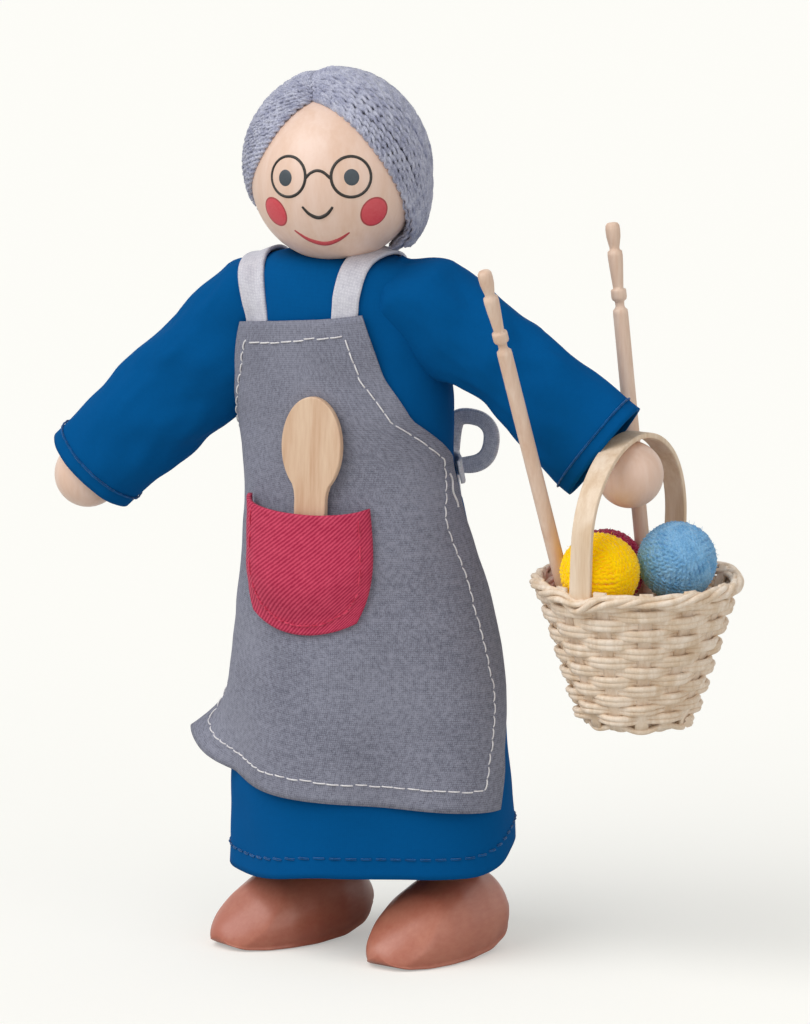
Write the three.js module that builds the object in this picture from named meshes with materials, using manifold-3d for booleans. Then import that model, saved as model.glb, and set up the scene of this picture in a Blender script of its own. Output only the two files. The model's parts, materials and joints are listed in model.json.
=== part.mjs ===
// Grandmother doll: a turned wooden doll with pinned arms and legs, in a cloth dress and apron,
// with a cane basket hung on the left wrist. Millimetres, +Z up, the doll faces -Y, her left is +X.
import * as THREE from 'three';
import { mergeVertices } from 'three/addons/utils/BufferGeometryUtils.js';
import Module from 'manifold-3d';

const wasm = await Module();
wasm.setup();

// Clearances
const touchGap = 0.3;
const pinClearance = 0.2;
const slotClearance = 0.25;

// Trunk
const hipHeight = 50;
const hipOffsetX = -3.2;
const hipOffsetY = -3.3;
const trunkLeanSideways = -2.2;
const trunkLeanForward = 3.5;
const neckAboveShoulder = 2.3;
const waistRadius = 4.6;
const chestRadius = 6.9;
const pelvisWidth = 18;
const pelvisDepth = 9;
const pelvisHeight = 9;

// Head and hair
const headRadius = 11;
const neckGap = 1.6;
const headYaw = 14;
const neckPegRadius = 2;
const neckPegInHead = 7;
const neckPegInTrunk = 7;
const hairSide = 1.9;
const hairTop = 3.2;
const hairBack = 3.2;
const hairLeft = 0.7;
const hairlineForward = 4.8;
const hairBottom = 8.5;

// Arms
const shoulderHalfWidth = 11.7;
const shoulderHeight = 38.2;
const yokePegRadius = 1.6;
const yokePegLength = 5.5;
const yokeFlangeRadius = 3;
const yokeFlangeThickness = 1;
const yokeCheekRadius = 1.8;
const upperArmLength = 17;
const upperArmRadius = 2.2;
const forearmLength = 19.4;
const forearmRadius = 2;
const handRadius = 4.2;
const armDirections = { right: [-0.663, -0.051, -0.747], left: [0.775, 0.133, -0.618] };

// Legs
const hipSpread = 5.5;
const footSpread = 10.2;
const ankleHeight = 8.5;
const thighRadius = 2.9;
const shinRadius = 2.5;
const kneeShare = 0.5;

// Pinned joints
const tongueThickness = 1.8;
const tongueRadius = 2;
const neckLength = 0.9;
const cheekThickness = 1.3;
const pinRadius = 0.65;

// Shoes
const shoeLength = 25;
const shoeWidth = 12.6;
const shoeHeight = 10.8;
const heelBehindAnkle = 8;
const shoeYaw = { right: -27, left: -13 };
const shoeFloor = 2.9;

// Dress: shares of its half width and depth at levels, where 0 is the hem, 1 the waist seam and 2 the
// shoulders, and how far its middle stands from the trunk's line there
const clothThickness = 0.8;
const hemHeight = 11.9;
const hemDip = 1.8;
const hemDipAngle = -64;
const waistAboveHip = 10;
const dressHalfWidth = 19.7;
const dressHalfDepth = 16.8;
const dressRows = [
  { z: -0.0811, rx: 1.0, ry: 1.0 },
  { z: 0.0021, rx: 0.9848, ry: 0.9821 },
  { z: 0.4179, rx: 0.93, ry: 0.8929 },
  { z: 0.6466, rx: 0.88, ry: 0.8333 },
  { z: 0.8129, rx: 0.805, ry: 0.7679 },
  { z: 1.0, rx: 0.7107, ry: 0.6726 },
  { z: 1.2136, rx: 0.695, ry: 0.619 },
  { z: 1.4985, rx: 0.705, ry: 0.5952 },
  { z: 1.7833, rx: 0.705, ry: 0.5595 },
  { z: 1.9969, rx: 0.6853, ry: 0.494 },
  { z: 2.1108, rx: 0.6193, ry: 0.4167 },
  { z: 2.1607, rx: 0.4569, ry: 0.3452 },
  { z: 2.182, rx: 0.2792, ry: 0.2738 },
];
const centreRows = [
  { z: -0.2474, x: 0.08, y: 0.24 },
  { z: 0.0021, x: 0.14, y: 0.18 },
  { z: 0.6674, x: 0.95, y: -0.07 },
  { z: 1.2136, x: 0.2, y: 0 },
  { z: 1.9613, x: 0.22, y: 0 },
  { z: 2.531, x: 0.43, y: -0.05 },
];
const neckOpening = 5.9;
const foldDepth = 1.2;
const foldCount = 5;
const broadFoldCount = 3;

// Sleeves
const sleeveStart = -5.5;
const sleeveAboveAtNeck = 2.3;
const sleeveAboveAtShoulder = { right: 4.9, left: 6.1 };
const sleeveBelowAtBody = 10.5;
const sleeveAboveAtCuff = { right: 6.8, left: 8.2 };
const sleeveBelowAtCuff = { right: 6.8, left: 7.7 };
const armpitRise = { right: 0, left: 4 };
const sleeveDeepAtBody = 6.4;
const sleeveDeepAtCuff = 5.4;
const cuffBeforeHand = { right: 0.9, left: 4.6 };
const sleeveFoldDepth = 0.35;

// Apron, straps, ties and pocket
const apronBelowShoulder = 3.49;
const apronAboveHemRows = [
  { z: 0, a: 15.6 },
  { z: 0.12, a: 12.5 },
  { z: 0.35, a: 10.7 },
  { z: 0.6, a: 9.5 },
  { z: 1, a: 8.0 },
];
const apronLeftRows = [
  { z: 0.1684, a: -88 },
  { z: 0.4802, a: -95 },
  { z: 0.7921, a: -100 },
  { z: 1.178, a: -98 },
  { z: 1.4272, a: -68 },
  { z: 1.6053, a: -57 },
  { z: 1.9257, a: -45 },
];
const apronRightRows = [
  { z: 0.1684, a: 86 },
  { z: 0.4802, a: 100 },
  { z: 0.7921, a: 104 },
  { z: 1.178, a: 97 },
  { z: 1.3738, a: 61 },
  { z: 1.5697, a: 47 },
  { z: 1.9257, a: 29 },
];
const apronFlare = 5.8;
const apronTopRise = 1.5;
const apronStandoff = 1.2;
const strapWidth = 3;
const strapAtShoulder = { right: -10, left: 7.4 };
const strapSlant = 15;
const strapAboveTie = 1.3;
const strapZoneHalfWidth = 12.7;
const tieAboveWaist = 4.4;
const tieWidth = 3;
const tieStart = 101;
const bowAngle = 148;
const knotHalfAngle = 9;
const knotWidth = 3;
const knotDepth = 3.6;
const bowLoopLength = 7.6;
const bowLoopDepth = 3;
const bowLoopRise = 20;
const bowTailLength = 6.5;
const ribbonThickness = 0.7;
const pocketAboveWaist = 0.6;
const pocketHeight = 16.4;
const pocketHalfAngle = 34;
const pocketAngle = -3;
const pocketRoom = 2.2;

// Spoon
const spoonThickness = 1;
const spoonBowlHalfWidth = 4.5;
const spoonBowlHalfHeight = 5.6;
const spoonHandleWidth = 4.8;
const spoonBowlAbovePocket = 9.5;
const spoonLength = 24.5;
const spoonX = -3;
const spoonTilt = 3.6;

// Basket and what it holds, measured from the middle of its rim
const basketYaw = -4;
const rimRadius = 13.3;
const bottomRadius = 7.3;
const basketHeight = 19.2;
const basketWall = 1;
const basketFloor = 1.2;
const handleWidth = 3;
const handleThickness = 1;
const handleInWall = 5;
const handlePeak = 19.2;
const handleSideways = -1.1;
const yarnRadius = 5.2;
const yarnPlaces = { yellow: [-1.1, -7, 2], blue: [5.1, 1.6, 2.6], red: [-6.1, 2.4, 0.2] };
const needleRadius = 1;
const needleLength = 54;
const needleTilts = { front: [-0.105, -0.277, 0.955], back: [-0.132, 0.0385, 0.9905] };
const needleFeet = { front: [-6.5, -4, -8.2], back: [-2.25, 7.8, -8.6] };

const degree = Math.PI / 180;
const vec = (x, y, z) => new THREE.Vector3(x, y, z);

// Value of one column of a table at a height, joined smoothly between its rows
function along(rows, z, key) {
  if (z <= rows[0].z) return rows[0][key];
  for (let i = 1; i < rows.length; i += 1) {
    if (z <= rows[i].z) {
      const t = (z - rows[i - 1].z) / (rows[i].z - rows[i - 1].z);
      return rows[i - 1][key] * (1 - t) + rows[i][key] * t;
    }
  }
  return rows[rows.length - 1][key];
}

function clamp01(t) {
  return Math.min(1, Math.max(0, t));
}

function smooth(t) {
  const c = clamp01(t);
  return c * c * (3 - 2 * c);
}

// Closed triangle mesh to a solid that can be cut and joined
function toSolid(geometry, matrix) {
  const plain = geometry.index ? geometry.toNonIndexed() : geometry.clone();
  if (matrix) plain.applyMatrix4(matrix);
  for (const name of Object.keys(plain.attributes)) {
    if (name !== 'position') plain.deleteAttribute(name);
  }
  const merged = mergeVertices(plain, 1e-4);
  const index = merged.index.array;
  const kept = [];
  for (let i = 0; i < index.length; i += 3) {
    const [a, b, c] = [index[i], index[i + 1], index[i + 2]];
    if (a !== b && b !== c && c !== a) kept.push(a, b, c);
  }
  return new wasm.Manifold(new wasm.Mesh({
    numProp: 3,
    vertProperties: new Float32Array(merged.attributes.position.array),
    triVerts: new Uint32Array(kept),
  }));
}

function toGeometry(solid) {
  const mesh = solid.getMesh();
  const geometry = new THREE.BufferGeometry();
  geometry.setAttribute('position', new THREE.BufferAttribute(new Float32Array(mesh.vertProperties), 3));
  geometry.setIndex(new THREE.BufferAttribute(new Uint32Array(mesh.triVerts), 1));
  geometry.computeVertexNormals();
  return geometry;
}

function place(x, y, z, rx = 0, ry = 0, rz = 0) {
  const turn = new THREE.Quaternion().setFromEuler(new THREE.Euler(rx, ry, rz));
  return new THREE.Matrix4().compose(vec(x, y, z), turn, vec(1, 1, 1));
}

function boxAt(sx, sy, sz, x, y, z) {
  return toSolid(new THREE.BoxGeometry(sx, sy, sz), place(x, y, z));
}

// Round bar along X, Y or Z with its middle at a point
function barAt(axis, radius, length, x, y, z, sides = 16) {
  const turns = { x: [0, 0, Math.PI / 2], y: [0, 0, 0], z: [Math.PI / 2, 0, 0] };
  const [rx, ry, rz] = turns[axis];
  return toSolid(new THREE.CylinderGeometry(radius, radius, length, sides), place(x, y, z, rx, ry, rz));
}

// Profile of radius and height pairs turned about Z
function turned(points, sides) {
  const profile = points.map(([r, z]) => new THREE.Vector2(r, z));
  return toSolid(new THREE.LatheGeometry(profile, sides), place(0, 0, 0, Math.PI / 2, 0, 0));
}

function ballAt(radius, x, y, z, sides = 24) {
  return toSolid(new THREE.SphereGeometry(radius, sides, sides / 2), place(x, y, z, Math.PI / 2, 0, 0));
}

// Closed sheet between two point functions of u and v; wrapped sheets close on themselves in u
function sheet(inner, outer, across, up, wrapped) {
  const columns = wrapped ? across : across + 1;
  const points = [];
  for (const side of [inner, outer]) {
    for (let j = 0; j <= up; j += 1) {
      for (let i = 0; i < columns; i += 1) points.push(side(i / across, j / up));
    }
  }
  const layer = columns * (up + 1);
  const at = (side, i, j) => side * layer + j * columns + (wrapped ? i % across : i);
  const faces = [];
  const quad = (a, b, c, d) => faces.push([a, b, c], [a, c, d]);
  for (let j = 0; j < up; j += 1) {
    for (let i = 0; i < across; i += 1) {
      quad(at(1, i, j), at(1, i + 1, j), at(1, i + 1, j + 1), at(1, i, j + 1));
      quad(at(0, i, j), at(0, i, j + 1), at(0, i + 1, j + 1), at(0, i + 1, j));
    }
  }
  for (let i = 0; i < across; i += 1) {
    quad(at(0, i, 0), at(0, i + 1, 0), at(1, i + 1, 0), at(1, i, 0));
    quad(at(0, i, up), at(1, i, up), at(1, i + 1, up), at(0, i + 1, up));
  }
  if (!wrapped) {
    for (let j = 0; j < up; j += 1) {
      quad(at(0, 0, j), at(1, 0, j), at(1, 0, j + 1), at(0, 0, j + 1));
      quad(at(0, across, j), at(0, across, j + 1), at(1, across, j + 1), at(1, across, j));
    }
  }
  const flat = [];
  for (const face of faces) {
    for (const k of face) flat.push(points[k].x, points[k].y, points[k].z);
  }
  const geometry = new THREE.BufferGeometry();
  geometry.setAttribute('position', new THREE.Float32BufferAttribute(flat, 3));
  return toSolid(geometry);
}

// Stack of rings of points closed by a middle point at each end
function loft(rings) {
  const flat = [];
  const push = (a, b, c) => {
    for (const p of [a, b, c]) flat.push(p.x, p.y, p.z);
  };
  const middle = (ring) => ring.reduce((sum, p) => sum.add(p), vec(0, 0, 0)).divideScalar(ring.length);
  const count = rings[0].length;
  for (let j = 0; j + 1 < rings.length; j += 1) {
    for (let i = 0; i < count; i += 1) {
      const k = (i + 1) % count;
      push(rings[j][i], rings[j][k], rings[j + 1][k]);
      push(rings[j][i], rings[j + 1][k], rings[j + 1][i]);
    }
  }
  const low = middle(rings[0].map((p) => p.clone()));
  const high = middle(rings[rings.length - 1].map((p) => p.clone()));
  const last = rings[rings.length - 1];
  for (let i = 0; i < count; i += 1) {
    const k = (i + 1) % count;
    push(rings[0][k], rings[0][i], low);
    push(last[i], last[k], high);
  }
  const geometry = new THREE.BufferGeometry();
  geometry.setAttribute('position', new THREE.Float32BufferAttribute(flat, 3));
  return toSolid(geometry);
}

// The largest separate piece of a cut solid
function mainPiece(solid) {
  return solid.decompose().sort((a, b) => b.volume() - a.volume())[0];
}

const material = (colour, roughness) => new THREE.MeshStandardMaterial({
  color: colour,
  roughness,
  metalness: 0,
});
const paleWood = material('#E5C7A8', 0.55);
const plainWood = material('#D9B98E', 0.65);
const brassWire = new THREE.MeshStandardMaterial({ color: '#B8964F', roughness: 0.35, metalness: 1 });
const hairYarn = material('#9B9FC0', 0.95);
const blueCotton = material('#02528F', 0.9);
const greyCotton = material('#8A8C9A', 0.9);
const whiteTape = material('#DAD4D8', 0.9);
const redTwill = material('#C92D4F', 0.9);
const brownPaint = material('#AF6650', 0.45);
const cane = material('#E3CFB2', 0.8);
const yarnColours = { yellow: material('#F4C200', 0.95), blue: material('#6FA8D6', 0.95), red: material('#C93058', 0.95) };

const doll = new THREE.Group();

function addTo(parent, name, solid, look) {
  const mesh = new THREE.Mesh(toGeometry(solid), look.clone());
  mesh.name = name;
  parent.add(mesh);
  return mesh;
}

// Trunk frame: its origin is the middle of the hip pins and +Z runs up the leaning trunk
const trunk = new THREE.Group();
trunk.position.set(hipOffsetX, hipOffsetY, hipHeight);
trunk.rotation.set(trunkLeanForward * degree, trunkLeanSideways * degree, 0);
doll.add(trunk);
trunk.updateMatrixWorld(true);

const slotWidth = tongueThickness + 2 * slotClearance;
const trunkLength = shoulderHeight + neckAboveShoulder;
const headCentreHeight = trunkLength + neckGap + headRadius;
const hipBlockBottom = -pelvisHeight / 2;

let trunkSolid = turned([
  [0, hipBlockBottom + 2],
  [pelvisDepth / 2 - 0.3, hipBlockBottom + 2],
  [pelvisDepth / 2 + 0.6, pelvisHeight / 2],
  [waistRadius, pelvisHeight / 2 + 7],
  [chestRadius - 1, shoulderHeight - 12],
  [chestRadius, shoulderHeight - 4],
  [chestRadius - 0.4, shoulderHeight + 0.6],
  [neckPegRadius + 1.6, trunkLength - 0.4],
  [neckPegRadius + 1.2, trunkLength],
  [0, trunkLength],
], 16);
trunkSolid = trunkSolid.add(boxAt(pelvisWidth, pelvisDepth, pelvisHeight, 0, 0, 0));
trunkSolid = trunkSolid.add(barAt('x', yokePegRadius + 1.7, 2 * (chestRadius + 0.6), 0, 0, shoulderHeight, 16));
const neckBore = neckPegInTrunk + touchGap;
trunkSolid = trunkSolid.subtract(
  barAt('z', neckPegRadius + pinClearance, neckBore + 2, 0, 0, trunkLength - neckBore / 2 + 1, 20),
);
for (const side of [-1, 1]) {
  const slotX = side * hipSpread;
  trunkSolid = trunkSolid.subtract(boxAt(slotWidth, pelvisDepth + 2, pelvisHeight + 0.2, slotX, 0, -1));
  const boreDepth = yokePegLength + touchGap;
  const boreMiddle = side * (chestRadius + 0.6 - boreDepth / 2 + 1);
  trunkSolid = trunkSolid.subtract(
    barAt('x', yokePegRadius + pinClearance, boreDepth + 2, boreMiddle, 0, shoulderHeight, 16),
  );
}
const hipPinLength = slotWidth + 4.2;
for (const side of [-1, 1]) {
  trunkSolid = trunkSolid.subtract(
    barAt('x', pinRadius + pinClearance, hipPinLength + 0.6, side * hipSpread, 0, 0, 12),
  );
}
addTo(trunk, 'torso_core', trunkSolid, plainWood);

const neckPegLength = neckPegInTrunk + (headCentreHeight - headRadius - trunkLength) + neckPegInHead;
const neckPegMiddle = trunkLength - neckPegInTrunk + neckPegLength / 2;
addTo(trunk, 'neck_peg', barAt('z', neckPegRadius, neckPegLength, 0, 0, neckPegMiddle, 20), plainWood);

// Head frame: origin at the ball's middle, the face looks along -Y
const head = new THREE.Group();
head.position.set(0, 0, headCentreHeight);
head.rotation.set(0, 0, headYaw * degree);
trunk.add(head);
const headBore = neckPegInHead + touchGap;
const headSolid = ballAt(headRadius, 0, 0, 0, 24).subtract(
  barAt('z', neckPegRadius + pinClearance, headBore + 2, 0, 0, -headRadius + headBore / 2 - 1, 20),
);
addTo(head, 'head_ball', headSolid, paleWood);

const hairMiddleZ = (hairTop - hairSide) / 2;
const hairMiddleY = (hairBack - hairSide) / 2;
const hairScale = new THREE.Matrix4().makeScale(
  headRadius + hairSide,
  headRadius + (hairBack + hairSide) / 2,
  headRadius + (hairTop + hairSide) / 2,
);
const hairBall = new THREE.SphereGeometry(1, 24, 14);
hairBall.applyMatrix4(new THREE.Matrix4().makeRotationX(Math.PI / 2));
hairBall.applyMatrix4(hairScale);
let hairSolid = toSolid(hairBall, place(hairLeft, hairMiddleY, hairMiddleZ));
hairSolid = hairSolid.subtract(ballAt(headRadius + touchGap, 0, 0, 0, 20));
const faceOutline = new THREE.Shape();
const hairlineLow = -headRadius - hairSide - 4;
faceOutline.moveTo(headRadius + 8, hairlineLow);
faceOutline.lineTo(-0.4, hairlineLow);
faceOutline.lineTo(0.2, -8.6);
faceOutline.quadraticCurveTo(hairlineForward - 1, -2, hairlineForward, 2);
faceOutline.quadraticCurveTo(hairlineForward + 0.2, 8, 1.5, headRadius - 0.3);
faceOutline.lineTo(2.4, headRadius + hairTop + 2);
faceOutline.lineTo(headRadius + 8, headRadius + hairTop + 2);
faceOutline.closePath();
const facePrism = new THREE.ExtrudeGeometry(faceOutline, {
  depth: 2 * headRadius + 12,
  bevelEnabled: false,
  curveSegments: 8,
});
facePrism.translate(0, 0, -headRadius - 6);
const faceFrame = new THREE.Matrix4().makeBasis(vec(0, -1, 0), vec(0, 0, 1), vec(-1, 0, 0));
hairSolid = hairSolid.subtract(toSolid(facePrism, faceFrame));
hairSolid = hairSolid.subtract(boxAt(60, 60, 20, 0, 0, -hairBottom - 10));
addTo(head, 'hair', hairSolid, hairYarn);

// Round bar from a tongue at its top pin down to a fork at its lower pin; the top pin lies along X
// and the lower one is turned from it by forkTurn
function limb(length, radius, topTongue, bottomFork, forkTurn = 0) {
  const top = topTongue ? -tongueRadius - neckLength : 0;
  const bottom = bottomFork ? -length + tongueRadius + neckLength : -length;
  let solid = barAt('z', radius, top - bottom, 0, 0, (top + bottom) / 2, 14);
  if (topTongue) {
    const reach = -top + 0.6;
    solid = solid.add(boxAt(tongueThickness, 2 * tongueRadius - 0.2, reach, 0, 0, -reach / 2));
    solid = solid.add(barAt('x', tongueRadius, tongueThickness, 0, 0, 0, 16));
    solid = solid.subtract(barAt('x', pinRadius + pinClearance, tongueThickness + 2, 0, 0, 0, 12));
  }
  if (bottomFork) {
    const width = slotWidth + 2 * cheekThickness;
    const reach = tongueRadius + neckLength + 1.2;
    let fork = boxAt(width, 2 * tongueRadius, reach, 0, 0, reach / 2);
    fork = fork.add(barAt('x', tongueRadius, width, 0, 0, 0, 16));
    const slotDepth = 2 * tongueRadius + slotClearance;
    fork = fork.subtract(boxAt(slotWidth, 8, slotDepth + 2, 0, 0, tongueRadius + slotClearance - (slotDepth + 2) / 2));
    fork = fork.subtract(barAt('x', pinRadius + pinClearance, width + 2, 0, 0, 0, 12));
    solid = solid.add(fork.transform(Array.from(place(0, 0, -length, 0, 0, forkTurn).elements)));
  }
  return solid;
}

const forkWidth = slotWidth + 2 * cheekThickness;

// Arms: the yoke turns on the trunk about its peg, the upper arm lifts on the yoke's pin,
// and the forearm bends on the elbow pin
const elbows = {};

function buildArm(name) {
  const sign = name === 'left' ? 1 : -1;
  const trunkTurn = new THREE.Quaternion().setFromRotationMatrix(trunk.matrixWorld).invert();
  const back = vec(...armDirections[name]).normalize().applyQuaternion(trunkTurn).negate();
  const liftAxis = vec(-sign, 0, 0).cross(back).normalize();
  const shoulder = new THREE.Group();
  shoulder.position.set(sign * shoulderHalfWidth, 0, shoulderHeight);
  trunk.add(shoulder);

  // Yoke: peg in the trunk, flange outside it and two cheeks about the lift pin
  const trunkFace = chestRadius + 0.6;
  const pegMiddle = sign * (trunkFace + touchGap - yokePegLength / 2 - shoulderHalfWidth + 0.2);
  let yoke = barAt('x', yokePegRadius, yokePegLength + 0.4, pegMiddle, 0, 0, 14);
  const flangeMiddle = sign * (trunkFace + touchGap + yokeFlangeThickness / 2 - shoulderHalfWidth);
  yoke = yoke.add(barAt('x', yokeFlangeRadius, yokeFlangeThickness, flangeMiddle, 0, 0, 20));
  const liftTurn = new THREE.Matrix4().makeBasis(
    vec(sign, 0, 0),
    liftAxis,
    vec(sign, 0, 0).cross(liftAxis),
  );
  const cheekLength = shoulderHalfWidth - trunkFace - touchGap;
  let cheeks = toSolid(
    new THREE.BoxGeometry(cheekLength, forkWidth, 2 * yokeCheekRadius),
    place(-cheekLength / 2, 0, 0),
  );
  cheeks = cheeks.add(barAt('y', yokeCheekRadius, forkWidth, 0, 0, 0, 16));
  const slotReach = tongueRadius + slotClearance;
  cheeks = cheeks.subtract(boxAt(2 * slotReach + 2, slotWidth, 4 * yokeCheekRadius, 1, 0, 0));
  cheeks = cheeks.subtract(barAt('y', pinRadius + pinClearance, forkWidth + 2, 0, 0, 0, 12));
  yoke = yoke.add(cheeks.transform(Array.from(liftTurn.elements)));
  addTo(shoulder, `${name}_shoulder_yoke`, yoke, plainWood);

  // Arm group: +Z points back up the arm, +X is the lift pin
  const arm = new THREE.Group();
  arm.quaternion.setFromRotationMatrix(new THREE.Matrix4().makeBasis(liftAxis, back.clone().cross(liftAxis), back));
  shoulder.add(arm);
  addTo(arm, `${name}_lift_pin`, barAt('x', pinRadius, forkWidth, 0, 0, 0, 12), brassWire);

  // The elbow pin is a quarter turn from the lift pin, so the elbow bends across the lift
  const upper = limb(upperArmLength, upperArmRadius, true, true, Math.PI / 2);
  addTo(arm, `${name}_upper_arm`, upper, plainWood);

  const elbow = new THREE.Group();
  elbow.position.set(0, 0, -upperArmLength);
  elbow.rotation.set(0, 0, Math.PI / 2);
  arm.add(elbow);
  addTo(elbow, `${name}_elbow_pin`, barAt('x', pinRadius, forkWidth, 0, 0, 0, 12), brassWire);
  const forearmEnd = forearmLength - 1.2;
  addTo(elbow, `${name}_forearm`, limb(forearmEnd, forearmRadius, true, false), plainWood);
  const handSolid = ballAt(handRadius, 0, 0, -forearmLength, 16).subtract(
    barAt('z', forearmRadius + touchGap, 8, 0, 0, -forearmEnd - touchGap + 4, 14),
  );
  addTo(elbow, `${name}_hand`, handSolid, paleWood);
  elbows[name] = elbow;
}
buildArm('right');
buildArm('left');

// Legs: hip and knee pins across the body, shoe glued on the shin
function buildLeg(name) {
  const sign = name === 'left' ? 1 : -1;
  const hip = vec(sign * hipSpread, 0, 0).applyMatrix4(trunk.matrixWorld);
  const ankle = vec(sign * footSpread, 0, ankleHeight);
  const down = ankle.clone().sub(hip);
  const legLength = down.length();
  const thighLength = legLength * kneeShare;
  const shinLength = legLength - thighLength;
  const up = down.clone().normalize().negate();
  const forward = up.clone().cross(vec(1, 0, 0)).normalize();
  const across = forward.clone().cross(up).normalize();
  const leg = new THREE.Group();
  leg.position.copy(hip);
  leg.quaternion.setFromRotationMatrix(new THREE.Matrix4().makeBasis(across, forward, up));
  doll.add(leg);

  const pinHolder = new THREE.Group();
  pinHolder.position.set(sign * hipSpread, 0, 0);
  trunk.add(pinHolder);
  addTo(pinHolder, `${name}_hip_pin`, barAt('x', pinRadius, hipPinLength, 0, 0, 0, 12), brassWire);

  // The hip tongue is turned to lie in the pelvis slot, which follows the trunk
  const trunkTurn = new THREE.Quaternion().setFromRotationMatrix(trunk.matrixWorld);
  const slotTurn = leg.quaternion.clone().invert().multiply(trunkTurn);
  const slotMatrix = new THREE.Matrix4().makeRotationFromQuaternion(slotTurn);
  const tongueDrop = Math.hypot(pelvisHeight, pelvisDepth) / 2 + touchGap;
  let thigh = limb(thighLength, thighRadius, false, true);
  thigh = thigh.subtract(boxAt(4 * thighRadius, 4 * thighRadius, tongueDrop + 2, 0, 0, 1 - tongueDrop / 2));
  const tongueReach = tongueDrop + 1.5;
  let tongue = boxAt(tongueThickness, 2 * tongueRadius - 0.4, tongueReach, 0, 0, -tongueReach / 2);
  tongue = tongue.add(barAt('x', tongueRadius, tongueThickness, 0, 0, 0, 16));
  tongue = tongue.subtract(barAt('x', pinRadius + pinClearance + 0.05, tongueThickness + 2, 0, 0, 0, 12));
  thigh = thigh.add(tongue.transform(Array.from(slotMatrix.elements)));
  addTo(leg, `${name}_thigh`, thigh, plainWood);

  const knee = new THREE.Group();
  knee.position.set(0, 0, -thighLength);
  leg.add(knee);
  const shinEnd = shinLength + ankleHeight - shoeFloor - touchGap - 2;
  addTo(knee, `${name}_knee_pin`, barAt('x', pinRadius, forkWidth, 0, 0, 0, 12), brassWire);
  addTo(knee, `${name}_shin`, limb(shinEnd, shinRadius, true, false), plainWood);

  // Shoe: rings from heel to toe with a flat sole, stood level under the ankle
  const rings = [];
  const stations = [
    [0, 0.5, 0.5, 0.16],
    [0.03, 0.66, 0.7, 0.05],
    [0.12, 0.84, 0.93, 0],
    [0.3, 0.92, 1, 0],
    [0.48, 1, 0.96, 0],
    [0.64, 0.98, 0.83, 0],
    [0.78, 0.84, 0.66, 0],
    [0.9, 0.58, 0.5, 0.02],
    [0.97, 0.32, 0.37, 0.1],
    [1, 0.14, 0.29, 0.18],
  ];
  const profile = [
    [-0.78, 0], [-0.94, 0.09], [-1, 0.28], [-0.95, 0.52], [-0.78, 0.76], [-0.5, 0.93], [-0.17, 1],
    [0.17, 1], [0.5, 0.93], [0.78, 0.76], [0.95, 0.52], [1, 0.28], [0.94, 0.09], [0.78, 0],
  ];
  for (const [s, w, h, lift] of stations.reverse()) {
    const low = lift * shoeHeight;
    const high = h * shoeHeight;
    rings.push(profile.map(([px, pz]) => vec(
      px * w * shoeWidth / 2,
      heelBehindAnkle - s * shoeLength,
      low + pz * (high - low),
    )));
  }
  let shoe = loft(rings);
  const footTurn = new THREE.Group();
  footTurn.position.set(sign * footSpread, 0, 0);
  footTurn.rotation.set(0, 0, shoeYaw[name] * degree);
  doll.add(footTurn);
  footTurn.updateMatrixWorld(true);
  const socket = toSolid(new THREE.CylinderGeometry(shinRadius + touchGap, shinRadius + touchGap, 16, 16));
  const legTurn = new THREE.Matrix4().makeRotationFromQuaternion(leg.quaternion);
  const upright = new THREE.Matrix4().makeRotationX(Math.PI / 2);
  const toShin = new THREE.Matrix4().makeTranslation(
    ...ankle.clone().addScaledVector(up, 8 - ankleHeight + shoeFloor + 2).toArray(),
  );
  const socketMatrix = footTurn.matrixWorld.clone().invert().multiply(toShin).multiply(legTurn).multiply(upright);
  shoe = shoe.subtract(socket.transform(Array.from(socketMatrix.elements)));
  addTo(footTurn, `${name}_shoe`, shoe, brownPaint);
}
buildLeg('right');
buildLeg('left');

// Heights of the dress over the body, and its levels between them
const waistSeam = hipHeight + waistAboveHip;
const trunkLine = vec(0, 0, 1).transformDirection(trunk.matrixWorld);
const shoulderLine = vec(0, 0, shoulderHeight).applyMatrix4(trunk.matrixWorld).z;
const apronTop = shoulderLine - apronBelowShoulder;
const tieHeight = waistSeam + tieAboveWaist;
const strapBottomAtBack = tieHeight + tieWidth / 2 + strapAboveTie;
const pocketTop = waistSeam + pocketAboveWaist;

function levelAt(z) {
  if (z <= waistSeam) return (z - hemHeight) / (waistSeam - hemHeight);
  return 1 + (z - waistSeam) / (shoulderLine - waistSeam);
}

function heightAt(level) {
  if (level <= 1) return hemHeight + level * (waistSeam - hemHeight);
  return waistSeam + (level - 1) * (shoulderLine - waistSeam);
}

// Middle of the dress at a height: the trunk's line and the cloth's offset from it
function dressMiddle(z) {
  const reach = (z - hipHeight) / trunkLine.z;
  return {
    x: hipOffsetX + reach * trunkLine.x + along(centreRows, levelAt(z), 'x'),
    y: hipOffsetY + reach * trunkLine.y + along(centreRows, levelAt(z), 'y'),
  };
}

// Point of the dress's outside at an angle from the front, a height and a distance off the cloth
function dressPoint(angle, z, off) {
  const fall = smooth((waistSeam - z) / (waistSeam - hemHeight));
  const wave = foldDepth * fall * (Math.cos(foldCount * angle + 0.6) * 0.55
    + Math.cos(broadFoldCount * angle + 1.9) * 0.45);
  const rx = dressHalfWidth * along(dressRows, levelAt(z), 'rx') + off + wave;
  const ry = dressHalfDepth * along(dressRows, levelAt(z), 'ry') + off + wave;
  const middle = dressMiddle(z);
  return vec(middle.x + rx * Math.sin(angle), middle.y - ry * Math.cos(angle), z);
}

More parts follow.
